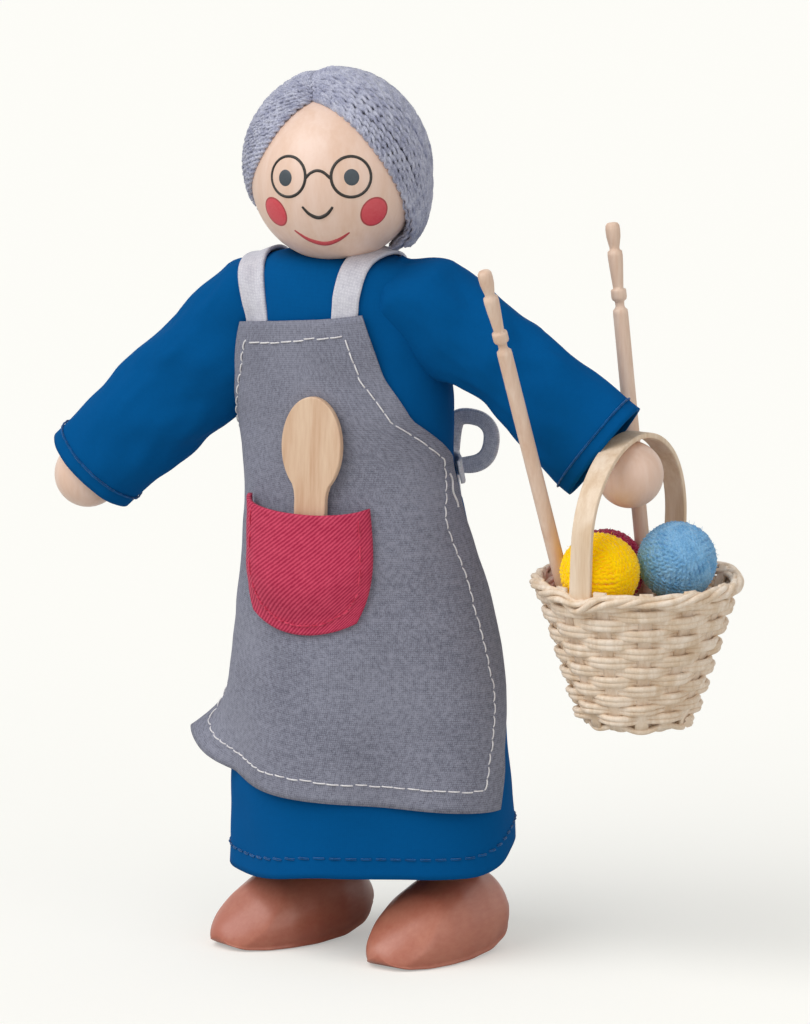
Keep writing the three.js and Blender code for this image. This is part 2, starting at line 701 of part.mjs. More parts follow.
// Filled body of the dress between two heights, grown or shrunk by a distance
function dressBody(off, low, high, across = 28, lift = 0) {
  const heights = dressRows.map((row) => heightAt(row.z)).filter((z) => z > low + 0.4 && z < high - 0.2);
  const rings = [low, ...heights, high].map((z) => {
    const ring = [];
    for (let i = 0; i < across; i += 1) {
      const p = dressPoint((i / across) * 2 * Math.PI, z, off);
      ring.push(vec(p.x, p.y, z + (z > low ? lift : 0)));
    }
    return ring;
  });
  return loft(rings);
}

const dressTop = heightAt(dressRows[dressRows.length - 1].z);
const dressCap = heightAt(dressRows[dressRows.length - 2].z);

// Point function of the sleeve's outside: round it, along it from the neck, and grown by a distance
function sleeveRing(name) {
  const sign = name === 'left' ? 1 : -1;
  const shoulderPoint = vec(sign * shoulderHalfWidth, 0, shoulderHeight).applyMatrix4(trunk.matrixWorld);
  const direction = vec(...armDirections[name]).normalize();
  const depthAxis = vec(1, 0, 0).cross(direction).normalize().multiplyScalar(sign);
  const wideAxis = direction.clone().cross(depthAxis).normalize();
  const end = upperArmLength + forearmLength - cuffBeforeHand[name];
  return (u, v, grow) => {
    const reach = sleeveStart + (end - sleeveStart) * v;
    const t = clamp01(reach / end);
    const angle = -u * 2 * Math.PI;
    const crease = sleeveFoldDepth * Math.sin(7 * v * Math.PI + 3 * angle) * Math.sin(Math.PI * clamp01(v));
    const rise = smooth((reach - sleeveStart) / (1 - sleeveStart));
    const shoulderAbove = sleeveAboveAtNeck + (sleeveAboveAtShoulder[name] - sleeveAboveAtNeck) * rise;
    const above = shoulderAbove + (sleeveAboveAtCuff[name] - sleeveAboveAtShoulder[name]) * t;
    const raised = armpitRise[name] * smooth((reach - 5) / 7) * smooth((end - reach) / 18);
    const below = sleeveBelowAtBody + (sleeveBelowAtCuff[name] - sleeveBelowAtBody) * t - raised;
    const wide = (Math.cos(angle) > 0 ? above : below) + grow + crease;
    const deep = sleeveDeepAtBody + (sleeveDeepAtCuff - sleeveDeepAtBody) * t + grow + crease;
    return shoulderPoint.clone()
      .addScaledVector(direction, reach)
      .addScaledVector(wideAxis, wide * Math.cos(angle))
      .addScaledVector(depthAxis, deep * Math.sin(angle));
  };
}

function sleeveSolid(name) {
  const ring = sleeveRing(name);
  return sheet(
    (u, v) => ring(u, v, -clothThickness),
    (u, v) => ring(u, v, 0),
    18,
    7,
    true,
  );
}

function sleeveCore(name, grow) {
  const ring = sleeveRing(name);
  const rings = [];
  for (let j = 0; j <= 4; j += 1) {
    const circle = [];
    for (let i = 0; i < 16; i += 1) circle.push(ring(i / 16, 0.05 + j * 0.2, grow));
    rings.push(circle);
  }
  return loft(rings);
}

// Bodice: shell from the waist seam to the neckline with an armhole on each side
let bodice = dressBody(0, waistSeam + touchGap / 2, dressTop);
bodice = bodice.subtract(dressBody(-clothThickness, waistSeam - 1, dressCap, 28, -0.3));
const neckPoint = vec(0, 0, trunkLength).applyMatrix4(trunk.matrixWorld);
bodice = bodice.subtract(barAt('z', neckOpening, 12, neckPoint.x, neckPoint.y, dressTop - 1, 24));
for (const name of ['right', 'left']) {
  bodice = bodice.subtract(sleeveCore(name, -clothThickness - 0.9));
}
addTo(doll, 'dress_bodice', mainPiece(bodice), blueCotton);

const strapClear = 2 * touchGap + clothThickness;
const strapZone = boxAt(2 * strapZoneHalfWidth, 60, 60, dressMiddle(apronTop).x, 0, apronTop);
const dressGuard = dressBody(touchGap, waistSeam - 20, dressTop, 28, touchGap)
  .add(dressBody(strapClear, waistSeam, dressTop, 28, strapClear).intersect(strapZone));
for (const name of ['right', 'left']) {
  addTo(doll, `${name}_sleeve`, mainPiece(sleeveSolid(name).subtract(dressGuard)), blueCotton);
}

// Skirt: from the waist seam to a hem that dips beside her right foot
function skirtPoint(u, v, off) {
  const angle = u * 2 * Math.PI;
  const low = hemHeight - hemDip * smooth((Math.cos(angle - hemDipAngle * degree) - 0.4) / 0.6);
  return dressPoint(angle, low + (waistSeam - touchGap / 2 - low) * v, off);
}

const skirt = sheet(
  (u, v) => skirtPoint(u, v, -clothThickness),
  (u, v) => skirtPoint(u, v, 0),
  45,
  6,
  true,
);
addTo(doll, 'skirt', skirt, blueCotton);

// Apron: front sheet over the dress, its lower left corner thrown outward
function apronPoint(u, v, off) {
  const nominal = apronRightRows[0].z + (levelAt(apronTop) - apronRightRows[0].z) * v;
  const left = along(apronLeftRows, nominal, 'a');
  const right = along(apronRightRows, nominal, 'a');
  const angle = (left + (right - left) * u) * degree;
  const foot = hemHeight + along(apronAboveHemRows, u, 'a');
  const z = foot + (apronTop + apronTopRise * u - foot) * v;
  const thrown = apronFlare * smooth((0.2 - u) / 0.2) * smooth((0.28 - v) / 0.28);
  const stood = apronStandoff * smooth((0.3 - u) / 0.3) * smooth((v - 0.3) / 0.25);
  return dressPoint(angle, z, off + thrown + stood);
}

const apronGap = touchGap + 0.15;
const apron = sheet(
  (u, v) => apronPoint(u, v, apronGap),
  (u, v) => apronPoint(u, v, apronGap + clothThickness),
  24,
  12,
  false,
);
addTo(doll, 'apron', apron, greyCotton);

// Pocket: sewn near the apron round its edge and standing off it where the spoon stands
function pocketPoint(u, v, off) {
  const side = 2 * u - 1;
  const narrowing = 1 - 0.3 * (1 - v) ** 3;
  const z = pocketTop - pocketHeight * (1 - v) * (1 - 0.12 * side * side) - 0.5 * (1 - side * side) * v;
  const angle = (pocketAngle + pocketHalfAngle * side * narrowing) * degree;
  const room = pocketRoom * (1 - side ** 4) * smooth(v / 0.45);
  return dressPoint(angle, z, apronGap + clothThickness + touchGap + room + off);
}

const pocket = sheet(
  (u, v) => pocketPoint(u, v, 0),
  (u, v) => pocketPoint(u, v, clothThickness),
  10,
  6,
  false,
);
addTo(doll, 'apron_pocket', pocket, redTwill);

// Straps over the shoulders, cut from a skin over the dress
function strapSolid(name) {
  const inside = dressBody(touchGap, waistSeam, dressTop, 28, touchGap);
  const outside = dressBody(touchGap + clothThickness, waistSeam + 1, dressTop, 28, touchGap + clothThickness);
  const skin = outside.subtract(inside);
  const lowFront = apronTop + touchGap + apronTopRise * (name === 'left' ? 1 : 0.4);
  const x = strapAtShoulder[name] + dressMiddle(apronTop).x;
  const midY = dressMiddle(apronTop).y;
  const slant = (name === 'left' ? strapSlant : -strapSlant) * degree;
  const length = 2 * (dressTop - apronTop);
  const bar = new THREE.BoxGeometry(strapWidth, 30, length);
  bar.translate(0, 0, -length / 2 + 2);
  const front = toSolid(bar, place(x, midY - 15, dressTop, 0, slant, 0))
    .intersect(boxAt(60, 90, 30, x, midY, lowFront + 15));
  const back = boxAt(strapWidth, 30, 60, x, midY + 14.99, strapBottomAtBack + 30);
  return skin.intersect(front.add(back));
}
addTo(doll, 'right_strap', strapSolid('right'), whiteTape);
addTo(doll, 'left_strap', strapSolid('left'), whiteTape);

// Waist ties: from the apron's side corners round the back to the bow
function tieStrip(fromAngle, toAngle) {
  const point = (u, v, off) => dressPoint(
    (fromAngle + (toAngle - fromAngle) * u) * degree,
    tieHeight - tieWidth / 2 + tieWidth * v,
    off,
  );
  return sheet(
    (u, v) => point(u, v, touchGap),
    (u, v) => point(u, v, touchGap + ribbonThickness),
    16,
    2,
    false,
  );
}
addTo(doll, 'left_tie', tieStrip(tieStart, bowAngle - knotHalfAngle), greyCotton);
addTo(doll, 'right_tie', tieStrip(bowAngle + knotHalfAngle, 360 - tieStart), greyCotton);

// Bow: knot, two loops and two tails, standing off the back of the waist
const bow = new THREE.Group();
const bowPoint = dressPoint(bowAngle * degree, tieHeight, touchGap);
bow.position.copy(bowPoint);
bow.rotation.set(0, 0, (bowAngle - 180) * degree);
doll.add(bow);
const knotMiddle = knotDepth / 2 + 0.15;
const loopOut = knotMiddle + 0.75;
let bowSolid = boxAt(knotWidth, knotDepth, tieWidth + 0.4, 0, knotMiddle, 0);
for (const side of [-1, 1]) {
  const loopX = side * (bowLoopLength / 2 + 0.6);
  const outer = new THREE.Shape();
  outer.absellipse(loopX, loopOut, bowLoopLength / 2, bowLoopDepth / 2, 0, 2 * Math.PI, false, 0);
  const hole = new THREE.Path();
  hole.absellipse(
    loopX,
    loopOut,
    bowLoopLength / 2 - ribbonThickness,
    bowLoopDepth / 2 - ribbonThickness,
    0,
    2 * Math.PI,
    true,
    0,
  );
  outer.holes.push(hole);
  const loop = new THREE.ExtrudeGeometry(outer, { depth: tieWidth, bevelEnabled: false, curveSegments: 12 });
  loop.translate(0, 0, -tieWidth / 2);
  const rise = place(0, 0, 0.6, 0, -side * bowLoopRise * degree, 0);
  bowSolid = bowSolid.add(toSolid(loop, rise));
  const tail = new THREE.BoxGeometry(tieWidth, ribbonThickness, bowTailLength);
  const hang = place(side * 2.4, 4, -bowTailLength / 2 + 0.8, 0.36, -side * 0.28, 0);
  bowSolid = bowSolid.add(toSolid(tail, hang));
}
addTo(bow, 'tie_bow', bowSolid, greyCotton);

// Spoon: flat, upright in the pocket against the apron
const spoonShape = new THREE.Shape();
const handleHalf = spoonHandleWidth / 2;
const joinAngle = Math.asin(handleHalf / spoonBowlHalfWidth);
const bowlPoints = 22;
for (let i = 0; i <= bowlPoints; i += 1) {
  const a = -Math.PI / 2 + joinAngle + (2 * Math.PI - 2 * joinAngle) * (i / bowlPoints);
  const x = spoonBowlHalfWidth * Math.cos(a);
  const y = spoonBowlHalfHeight * Math.sin(a);
  if (i === 0) spoonShape.moveTo(x, y);
  else spoonShape.lineTo(x, y);
}
const spoonFoot = spoonBowlHalfHeight - spoonLength;
spoonShape.lineTo(-handleHalf + 0.3, spoonFoot);
spoonShape.lineTo(handleHalf - 0.3, spoonFoot);
spoonShape.closePath();
const spoonGeometry = new THREE.ExtrudeGeometry(spoonShape, { depth: spoonThickness, bevelEnabled: false });
const spoonFrame = new THREE.Group();
const spoonFootZ = pocketTop + spoonBowlAbovePocket + spoonFoot;
const apronFront = (z) => dressPoint(0, z, apronGap + clothThickness).y;
const spoonY = Math.min(apronFront(spoonFootZ), apronFront(waistSeam)) - touchGap - 0.25;
spoonFrame.position.set(spoonX, spoonY, spoonFootZ);
spoonFrame.rotation.set(Math.PI / 2 - spoonTilt * degree, 0, 0);
doll.add(spoonFrame);
spoonGeometry.translate(0, -spoonFoot, 0);
addTo(spoonFrame, 'wooden_spoon', toSolid(spoonGeometry), paleWood);

// Basket frame: origin in the middle of the rim plane, level, handle over the left hand
doll.updateMatrixWorld(true);
const handCentre = vec(0, 0, -forearmLength).applyMatrix4(elbows.left.matrixWorld);
const rimHeight = handCentre.z + handRadius + touchGap + handleThickness - handlePeak;
const basket = new THREE.Group();
const basketTurn = basketYaw * degree;
basket.position.set(
  handCentre.x - handleSideways * Math.cos(basketTurn),
  handCentre.y - handleSideways * Math.sin(basketTurn),
  rimHeight,
);
basket.rotation.set(0, 0, basketTurn);
doll.add(basket);

const innerTop = rimRadius - basketWall;
const innerBottom = bottomRadius - basketWall;
let bowl = turned([
  [0, -basketHeight],
  [bottomRadius, -basketHeight],
  [rimRadius, 0],
  [innerTop, 0],
  [innerBottom, -basketHeight + basketFloor],
  [0, -basketHeight + basketFloor],
], 32);

// Handle: a flat strip up out of the wall, over in a half round and down into the wall again
function handleArch(grow) {
  const middle = rimRadius - handleThickness / 2;
  const outer = middle + handleThickness / 2 + grow;
  const inner = middle - handleThickness / 2 - grow;
  const centre = handlePeak - rimRadius;
  const drop = handleInWall + grow;
  const slant = ((rimRadius - bottomRadius) / basketHeight) * drop;
  const shape = new THREE.Shape();
  shape.moveTo(outer - slant, -drop);
  shape.lineTo(outer, 0);
  shape.lineTo(outer, centre);
  shape.absarc(0, centre, outer, 0, Math.PI, false);
  shape.lineTo(-outer, 0);
  shape.lineTo(-outer + slant, -drop);
  shape.lineTo(-inner + slant, -drop);
  shape.lineTo(-inner, 0);
  shape.lineTo(-inner, centre);
  shape.absarc(0, centre, inner, Math.PI, 0, true);
  shape.lineTo(inner, 0);
  shape.lineTo(inner - slant, -drop);
  shape.closePath();
  const width = handleWidth + 2 * grow;
  const geometry = new THREE.ExtrudeGeometry(shape, { depth: width, bevelEnabled: false, curveSegments: 12 });
  geometry.translate(0, 0, -width / 2);
  return toSolid(geometry, new THREE.Matrix4().makeBasis(vec(0, 1, 0), vec(0, 0, 1), vec(1, 0, 0)));
}
const handle = handleArch(0);
bowl = bowl.subtract(handleArch(touchGap));
addTo(basket, 'basket_bowl', bowl, cane);
addTo(basket, 'basket_handle', handle, cane);

for (const colour of ['yellow', 'blue', 'red']) {
  const [x, y, z] = yarnPlaces[colour];
  const holder = new THREE.Group();
  holder.position.set(x, y, z);
  basket.add(holder);
  addTo(holder, `yarn_ball_${colour}`, ballAt(yarnRadius, 0, 0, 0, 18), yarnColours[colour]);
}

// Needles: straight shaft with a turned head
for (const name of ['front', 'back']) {
  const r = needleRadius;
  const top = needleLength;
  const needle = turned([
    [0, 0],
    [r * 0.6, 0.4],
    [r, 3],
    [r, top - 12],
    [r * 0.96, top - 11.4],
    [r * 0.6, top - 11.1],
    [r * 0.62, top - 10.4],
    [r * 1.02, top - 10.1],
    [r * 1.02, top - 9],
    [r * 0.68, top - 8.7],
    [r * 0.8, top - 7.2],
    [r, top - 4.6],
    [r, top - 3.8],
    [r * 0.66, top - 3.5],
    [r * 0.95, top - 1.9],
    [r * 0.95, top - 0.5],
    [r * 0.7, top],
    [0, top],
  ], 10);
  const holder = new THREE.Group();
  holder.position.set(...needleFeet[name]);
  holder.quaternion.setFromUnitVectors(vec(0, 0, 1), vec(...needleTilts[name]).normalize());
  basket.add(holder);
  addTo(holder, `knitting_needle_${name}`, needle, paleWood);
}

// The origin is the middle of the footprint of the whole object, on the ground
doll.updateMatrixWorld(true);
const bounds = new THREE.Box3().setFromObject(doll, true);
const origin = bounds.getCenter(vec(0, 0, 0));
doll.position.set(-origin.x, -origin.y, -bounds.min.z);
doll.updateMatrixWorld(true);

export default doll;
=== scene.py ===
import json
import random
from math import atan2, cos, degrees, exp, hypot, pi, radians, sin, sqrt

import bmesh
import bpy
from mathutils import Matrix, Vector, noise

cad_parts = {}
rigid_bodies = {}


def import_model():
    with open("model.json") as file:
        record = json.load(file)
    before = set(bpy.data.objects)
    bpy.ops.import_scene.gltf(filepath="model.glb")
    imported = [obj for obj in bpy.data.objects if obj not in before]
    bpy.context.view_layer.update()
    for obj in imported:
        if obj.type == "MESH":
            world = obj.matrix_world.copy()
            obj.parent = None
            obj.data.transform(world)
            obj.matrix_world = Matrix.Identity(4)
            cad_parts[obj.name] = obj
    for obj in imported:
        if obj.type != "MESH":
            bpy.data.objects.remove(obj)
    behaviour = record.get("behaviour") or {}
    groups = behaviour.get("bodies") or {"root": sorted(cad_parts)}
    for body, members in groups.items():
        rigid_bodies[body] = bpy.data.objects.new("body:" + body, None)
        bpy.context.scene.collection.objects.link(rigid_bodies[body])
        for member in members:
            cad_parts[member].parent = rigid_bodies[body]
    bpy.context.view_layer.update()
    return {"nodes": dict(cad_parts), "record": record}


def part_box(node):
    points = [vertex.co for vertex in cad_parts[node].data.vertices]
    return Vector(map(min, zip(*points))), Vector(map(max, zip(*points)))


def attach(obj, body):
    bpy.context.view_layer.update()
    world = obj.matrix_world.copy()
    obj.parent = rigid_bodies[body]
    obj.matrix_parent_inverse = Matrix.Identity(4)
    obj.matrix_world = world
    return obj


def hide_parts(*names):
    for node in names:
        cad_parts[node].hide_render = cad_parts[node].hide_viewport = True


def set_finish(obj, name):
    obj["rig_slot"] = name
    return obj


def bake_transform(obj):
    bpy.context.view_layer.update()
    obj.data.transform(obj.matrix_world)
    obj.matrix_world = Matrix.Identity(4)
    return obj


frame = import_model()
scene = bpy.context.scene
random.seed(7)
mm = 0.001
upward = Vector((0, 0, 1))

# The doll is laid out in millimetres over her own feet; her joints and sizes are those of the part
doll = {
    "hip": (-3.2, -3.3, 50), "leanForward": 3.5, "leanSideways": -2.2,
    "shoulderHeight": 38.2, "shoulderHalfWidth": 11.7, "headCentre": 53.1, "headYaw": 14, "headRadius": 11,
    "headShift": 0.65, "headHole": (2.3, 7.4), "handHole": (2.35, 3),
    "arm": {"right": (-0.663, -0.051, -0.747), "left": (0.775, 0.133, -0.618)},
    "upperArm": 17, "forearm": 19.4, "handRadius": 4.2, "handGrown": 1.05,
}


def turn(degrees, axis):
    return Matrix.Rotation(radians(degrees), 4, axis)


trunk = Matrix.Translation(doll["hip"]) @ turn(doll["leanForward"], "X") @ turn(doll["leanSideways"], "Y")
head = trunk @ Matrix.Translation((0, 0, doll["headCentre"])) @ turn(doll["headYaw"], "Z")
joints = {j["name"]: j for j in frame["record"]["behaviour"]["joints"]}
shift = Vector(joints["neck_turn"]["pos_m"]) / mm - head.translation
toPart = Matrix.Scale(mm, 4) @ Matrix.Translation(shift)


def partPoint(point):
    return toPart @ Vector(point)


def mix(low, high, share):
    return low + (high - low) * share


def ease(t):
    t = min(1.0, max(0.0, t))
    return t * t * (3 - 2 * t)


def drift(*place):
    # Slow unevenness, from -1 to 1
    return noise.noise(Vector(place))


def newObject(name, data):
    made = bpy.data.objects.new(name, data)
    scene.collection.objects.link(made)
    return made


def meshOf(name, bm):
    mesh = bpy.data.meshes.new(name)
    bm.to_mesh(mesh)
    bm.free()
    return mesh


def hexColour(code):
    # sRGB hex to the linear values that the shaders take
    values = [int(code[i:i + 2], 16) / 255 for i in (1, 3, 5)]
    return [v / 12.92 if v <= 0.04045 else ((v + 0.055) / 1.055) ** 2.4 for v in values] + [1.0]


def addNode(tree, kind, values=None, links=None, **settings):
    node = tree.nodes.new("ShaderNode" + kind)
    for key, value in settings.items():
        setattr(node, key, value)
    for key, value in (values or {}).items():
        node.inputs[key].default_value = value
    for key, output in (links or {}).items():
        tree.links.new(output, node.inputs[key])
    return node


def startTree(block):
    block.use_nodes = True
    block.node_tree.nodes.clear()
    return block.node_tree


# Camera, light and floor
photo = {"azimuth": 26, "elevation": 12, "pixelsPerMm": 7.63, "footX": 389, "footY": 942,
         "width": 810, "height": 1024, "distance": 2000, "forward": 12, "sensor": 36}
studio = {"lampStrength": 1.75, "lampAngle": 1.0, "fillShare": 0.24, "fillAngle": 0.9, "worldStrength": 0.46,
          "floorColour": "#D8D7D2", "backColour": "#FDFDF9", "floorLift": 0.36, "floorSize": 6}


def makeCamera():
    a, e = radians(photo["azimuth"]), radians(photo["elevation"])
    right = Vector((cos(a), sin(a), 0))
    back = Vector((sin(a) * cos(e), -cos(a) * cos(e), sin(e)))
    up = back.cross(right)
    across = (photo["width"] / 2 - photo["footX"]) / photo["pixelsPerMm"]
    rise = (photo["footY"] - photo["height"] / 2) / photo["pixelsPerMm"]
    data = bpy.data.cameras.new("studioCamera")
    data.sensor_width = photo["sensor"]
    data.lens = photo["sensor"] / 2 / (photo["height"] / 2 / photo["pixelsPerMm"] / photo["distance"])
    data.clip_start, data.clip_end = 0.05, 20
    camera = newObject("studioCamera", data)
    camera.location = partPoint(right * across + up * rise + back * (photo["distance"] + photo["forward"]))
    camera.rotation_mode = "QUATERNION"
    camera.rotation_quaternion = Matrix((right, up, back)).transposed().to_quaternion()
    scene.camera = camera


def makeStudio():
    scene.view_settings.view_transform = "Standard"
    world = bpy.data.worlds.new("paleStudio")
    tree = startTree(world)
    path = addNode(tree, "LightPath")
    seen = addNode(tree, "Math", {}, {0: path.outputs["Is Camera Ray"], 1: path.outputs["Is Glossy Ray"]},
                   operation="MAXIMUM")
    light = addNode(tree, "Background", {"Color": hexColour("#FFFFFF"), "Strength": studio["worldStrength"]})
    back = addNode(tree, "Background", {"Color": hexColour(studio["backColour"]), "Strength": 1})
    both = addNode(tree, "MixShader", {}, {0: seen.outputs[0], 1: light.outputs[0], 2: back.outputs[0]})
    addNode(tree, "OutputWorld", {}, {"Surface": both.outputs[0]})
    scene.world = world
    for name, direction, share, angle in (("keyLamp", (-0.5, -0.75, 0.95), 1, studio["lampAngle"]),
                                          ("fillLamp", (1.0, -0.5, 0.5), studio["fillShare"], studio["fillAngle"])):
        lamp = bpy.data.lights.new(name, "SUN")
        lamp.energy, lamp.angle = studio["lampStrength"] * share, angle
        holder = newObject(name, lamp)
        holder.rotation_mode = "QUATERNION"
        holder.rotation_quaternion = Vector(direction).to_track_quat("Z", "Y")
    # matt paper that gives the camera a little light of its own
    material = bpy.data.materials.new("mattPaperFloor")
    tree = startTree(material)
    matt = addNode(tree, "BsdfDiffuse", {"Color": hexColour(studio["floorColour"])})
    path = addNode(tree, "LightPath")
    lift = addNode(tree, "Math", {1: studio["floorLift"]}, {0: path.outputs["Is Camera Ray"]}, operation="MULTIPLY")
    glow = addNode(tree, "Emission", {"Color": hexColour(studio["backColour"])}, {"Strength": lift.outputs[0]})
    both = addNode(tree, "AddShader", {}, {0: matt.outputs[0], 1: glow.outputs[0]})
    addNode(tree, "OutputMaterial", {}, {"Surface": both.outputs[0]})
    bm = bmesh.new()
    bmesh.ops.create_grid(bm, x_segments=2, y_segments=2, size=studio["floorSize"])
    mesh = meshOf("studioFloor", bm)
    mesh.materials.append(material)
    newObject("studioFloor", mesh)


makeCamera()
makeStudio()
print("camera, light and floor are in place")


# Finishes
def startMaterial(name, values):
    material = bpy.data.materials.new(name)
    tree = startTree(material)
    shader = addNode(tree, "BsdfPrincipled", values)
    addNode(tree, "OutputMaterial", {}, {"Surface": shader.outputs[0]})
    return material, tree, shader


def objectPlace(tree, stretch=None):
    place = addNode(tree, "TexCoord").outputs["Object"]
    return addNode(tree, "Mapping", {"Scale": stretch}, {"Vector": place}).outputs[0] if stretch else place


def grainOf(tree, place, scale, detail, rough=0.5, twist=0):
    return addNode(tree, "TexNoise", {"Scale": scale, "Detail": detail, "Roughness": rough, "Distortion": twist},
                   {"Vector": place}).outputs[0]


def added(tree, first, factor, second):
    # The first value times a factor, with the second added
    return addNode(tree, "Math", {1: factor}, {0: first, 2: second}, operation="MULTIPLY_ADD").outputs[0]


def multiplied(tree, values, links):
    return addNode(tree, "Math", values, links, operation="MULTIPLY").outputs[0]


def finishSurface(tree, shader, tone, stops, colours, height, strength, depthMm):
    # Base colour between two colours by tone, and bump by height
    ramp = addNode(tree, "ValToRGB", {}, {"Fac": tone})
    for k in (0, 1):
        ramp.color_ramp.elements[k].position = stops[k]
        ramp.color_ramp.elements[k].color = hexColour(colours[k])
    tree.links.new(ramp.outputs[0], shader.inputs["Base Color"])
    bump = addNode(tree, "Bump", {"Strength": strength, "Distance": depthMm * mm}, {"Height": height})
    tree.links.new(bump.outputs[0], shader.inputs["Normal"])


def wooden(name, pale, dark, grainMm, stretch, roughness, coat, bumpMm):
    # Turned beech or birch: fine pores drawn out along the grain, with slow bands of darker growth
    material, tree, shader = startMaterial(name, {"Roughness": roughness, "Coat Weight": coat, "Coat Roughness": 0.3})
    laid = objectPlace(tree, stretch)
    pores = grainOf(tree, laid, 1 / (grainMm * mm), 4, 0.6)
    bands = grainOf(tree, laid, 0.16 / (grainMm * mm), 2, twist=0.6)
    finishSurface(tree, shader, added(tree, pores, 0.5, bands), (0.55, 0.95), (pale, dark), pores, 0.4, bumpMm)
    return material


def cotton(name, colour, shade, threadMm, weave, bumpMm, spread, sheen=0.12, gloss=0.2):
    # Woven thread read from the cloth's own cut in metres; weave is plain or twill
    material, tree, shader = startMaterial(name, {"Roughness": 0.9, "Sheen Weight": sheen, "Sheen Roughness": 0.5,
                                                  "Specular IOR Level": gloss})
    cut = addNode(tree, "UVMap", uv_map="cut").outputs[0]
    if weave == "twill":
        mirrored = addNode(tree, "Mapping", {"Scale": (-1, 1, 1)}, {"Vector": cut}).outputs[0]
        height = addNode(tree, "TexWave", {"Scale": 0.444 / (threadMm * mm), "Distortion": 1.5, "Detail": 2,
                                           "Detail Scale": 2.5}, {"Vector": mirrored},
                         wave_type="BANDS", bands_direction="DIAGONAL").outputs["Fac"]
    else:
        warp, weft = [addNode(tree, "TexWave", {"Scale": 0.314 / (threadMm * mm), "Distortion": 0.6, "Detail": 1},
                              {"Vector": cut}, bands_direction=way).outputs["Fac"] for way in "XY"]
        flecks = grainOf(tree, cut, 1.1 / (threadMm * mm), 2, 0.8)
        height = added(tree, multiplied(tree, {}, {0: warp, 1: weft}), 0.3, flecks)
    fibres = added(tree, grainOf(tree, cut, 0.35 / (threadMm * mm), 2), 0.7, height)
    faded = grainOf(tree, objectPlace(tree), 90, 3)
    tone = added(tree, faded, 0.25, multiplied(tree, {1: 0.5}, {0: fibres}))
    finishSurface(tree, shader, tone, (0.57 - spread, 0.57 + spread), (shade, colour), fibres, 0.6, bumpMm)
    return material


def spun(name, colour, shade, fibreMm):
    # Wool or cotton thread: soft, with a slow random tone; its colour is darker where the bump is low and lighter
    # where it is high, painted shade in the hollows and painted highlight on the fibres
    material, tree, shader = startMaterial(name, {"Roughness": 0.95, "Sheen Weight": 0.35, "Sheen Roughness": 0.4,
                                                  "Specular IOR Level": 0.15})
    place = objectPlace(tree)
    fibres = grainOf(tree, place, 1 / (fibreMm * mm), 3, 0.7)
    tone = added(tree, grainOf(tree, place, 0.12 / (fibreMm * mm), 1), 0.6, fibres)
    finishSurface(tree, shader, tone, (0.6, 0.95), (shade, colour), fibres, 0.5, 0.3 * fibreMm)
    return material


def painted(name, colour, worn, roughness, coat, brushMm, wear):
    # Paint brushed on wood: slight brush marks, a soft gloss, a little wear of tone
    material, tree, shader = startMaterial(name, {"Roughness": roughness, "Coat Weight": coat,
                                                  "Coat Roughness": 0.25})
    marks = grainOf(tree, objectPlace(tree, (1, 0.35, 1)), 1 / (brushMm * mm), 3, 0.6)
    tone = added(tree, marks, 0.5, grainOf(tree, objectPlace(tree), 140, 3))
    finishSurface(tree, shader, tone, (0.7 - wear, 0.9 + wear), (colour, worn), marks, 0.35, 0.05)
    return material


